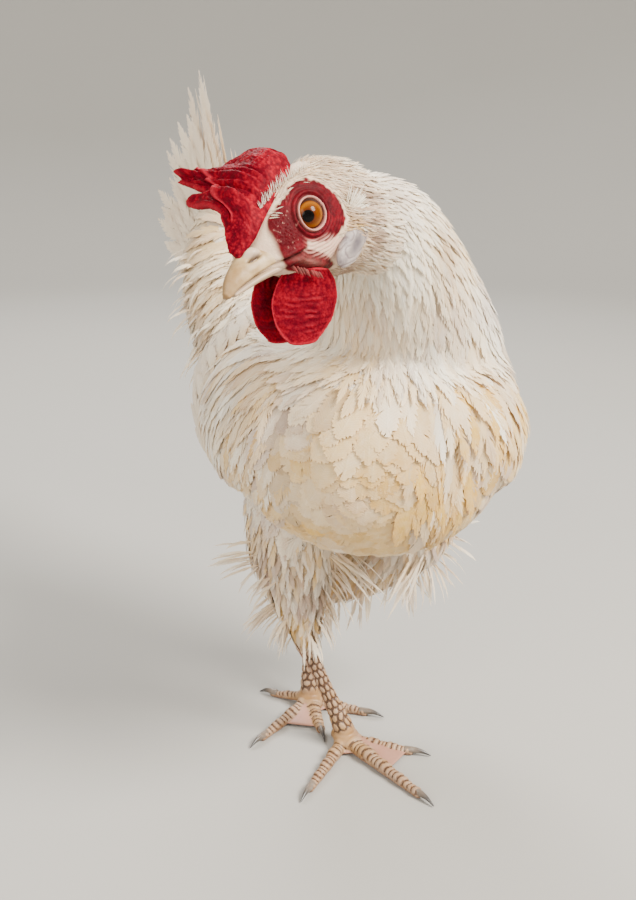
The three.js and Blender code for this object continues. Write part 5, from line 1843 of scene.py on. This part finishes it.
def buildLeg(side):
    leg = legs[side]
    hub, hock = np.array(leg["hub"], float), np.array(leg["hock"], float)
    ankle = hub + up * (foot["hubHeight"] + 2)
    shaft = shankLoft(hock, ankle)
    toeLofts = {name: toeLoft(leg, name) for name in toes}
    outs = {name: toeLine(leg, name)[0] for name in toes}
    webs = webLofts(side, hub, outs)
    parts = [shaft.tube(60, 32, 0, (4, 3))]
    parts += [loft.tube(60, 24, 0, (3, 2)) for loft in toeLofts.values()]
    parts += [web.tube(14, 28, 0, (1, 0.8)) for web in webs]
    parts.append(soleLoft(hub, outs["middle"]).tube(16, 20, 0, (4, 4)))
    points, quads = fuse(parts, foot["voxel"], 3)
    points[:, 2] = np.maximum(points[:, 2], foot["floor"])
    normals = pointNormals(points, [quads])
    rise, scute, webbed = legScales(points, shaft, np.linalg.norm(hock - ankle), toeLofts, webs)
    points = points + normals * rise[:, None]
    points[:, 2] = np.maximum(points[:, 2], foot["lowest"])
    scale = np.stack([scute, ease(-normals[:, 2], 0.0, 0.7), webbed], -1)
    nodes = [f"shank_{side}", f"foot_{side}"] + [f"toe_{side}_{name}" for name in toes]
    makePiece(f"leg_{side}", points, [quads], legMaterial, nodes, {"scale": scale})
    for name in toes:
        buildClaw(side, leg, name)


def buildClaw(side, leg, name):
    out, length, claw = toeLine(leg, name)
    hub = np.array(leg["hub"], float)
    rows = []
    for s in np.linspace(-0.22, 1, 16):
        d = max(0.0, s)
        height = mix(3.0, 1.1, d**1.5) + 0.9 * math.sin(math.pi * d)
        at = hub + out * (length + s * claw)
        rows.append((at[0], at[1], height, mix(2.2, 0.35, d**1.1), mix(2.5, 0.4, d**1.1)))
    points, faces = Loft(rows, fullness=1.8).tube(44, 24, 0, (1, 0.3))
    points[:, 2] = np.maximum(points[:, 2], foot["lowest"])
    along = np.clip(((points - hub) @ out - length) / claw, 0, 1)
    claws = np.stack([along, 0 * along, 0 * along], -1)
    node = f"claw_{side}_{name}"
    makePiece(node, points, faces, clawMaterial, (node,), {"claw": claws})


for side in ("left", "right"):
    buildLeg(side)
print("legs")


# floor, light and camera
def stageFinish(name, color):
    graph = Graph(name)
    tone = graph.noise(3.0, 3.0)
    return graph.finish(Base_Color=graph.blend(color, tuple(0.95 * c for c in color), tone), Roughness=0.75)


# the floor is flat this far out in metres and has risen to its height at the wall
studio = {"flat": 1.8, "wall": 3.2, "height": 2.4, "color": (0.36, 0.35, 0.33), "sky": (1.0, 0.96, 0.89),
          "skyPower": 1.2, "middle": (0, 0, 0.2)}
lights = {
    "key": {"spot": (0.8, -1.25, 1.5), "size": 0.9, "power": 122, "color": (1.0, 0.95, 0.86)},
    "fill": {"spot": (-1.4, -0.9, 0.8), "size": 1.3, "power": 28, "color": (1.0, 0.95, 0.87)},
    "rim": {"spot": (0.3, 1.4, 1.5), "size": 0.7, "power": 34, "color": (1.0, 0.98, 0.95)},
}


def buildStage():  # a pale floor that turns up smoothly into a round backdrop
    a = np.linspace(0, math.pi / 2, 24)
    curve = np.stack([mix(studio["flat"], studio["wall"], np.sin(a)), studio["height"] * (1 - np.cos(a))], -1)
    profile = np.vstack([(0.01, 0.0), (0.8, 0.0), curve])
    turn = np.linspace(0, math.tau, 120, endpoint=False)
    ring = np.stack([np.cos(turn), np.sin(turn), 0 * turn], -1)
    points = profile[:, None, :1] * ring[None] + profile[:, None, 1:] * up
    sides = len(turn)
    middle = np.arange(sides)
    points = np.vstack([points.reshape(-1, 3), (0, 0, 0)])
    hub = np.stack([np.full(sides, len(points) - 1), middle, (middle + 1) % sides], -1)
    mesh = meshFrom("floor", points, [gridFaces(len(profile), sides), hub])
    mesh.materials.append(stageFinish("floor_pale", studio["color"]))
    addObject("floor", mesh)
    world = bpy.data.worlds.new("studio")
    bpy.context.scene.world = world
    world.use_nodes = True
    world.node_tree.nodes["Background"].inputs[0].default_value = (*studio["sky"], 1)
    world.node_tree.nodes["Background"].inputs[1].default_value = studio["skyPower"]


def addLight(name):
    made = lights[name]
    light = bpy.data.lights.new(name, "AREA")
    light.shape = "DISK"
    light.size, light.energy, light.color = made["size"], made["power"], made["color"]
    lamp = addObject(name, light)
    lamp.location = made["spot"]
    lamp.rotation_euler = (Vector(studio["middle"]) - Vector(made["spot"])).to_track_quat("-Z", "Y").to_euler()


camera = {"spot": (-300.2, -545.1, 385), "turn": 27, "pitch": 17.5, "lens": 44.0, "sensor": 36.0}


def buildCamera():
    lens = bpy.data.cameras.new("camera")
    lens.lens = camera["lens"]
    lens.sensor_width = camera["sensor"]
    lens.clip_start = 0.02
    taker = addObject("camera", lens)
    taker.location = toFrame(camera["spot"])
    taker.rotation_euler = (math.radians(90 - camera["pitch"]), 0, -math.radians(camera["turn"]))
    bpy.context.scene.camera = taker


buildStage()
for name in lights:
    addLight(name)
buildCamera()
print("stage, lights and camera")
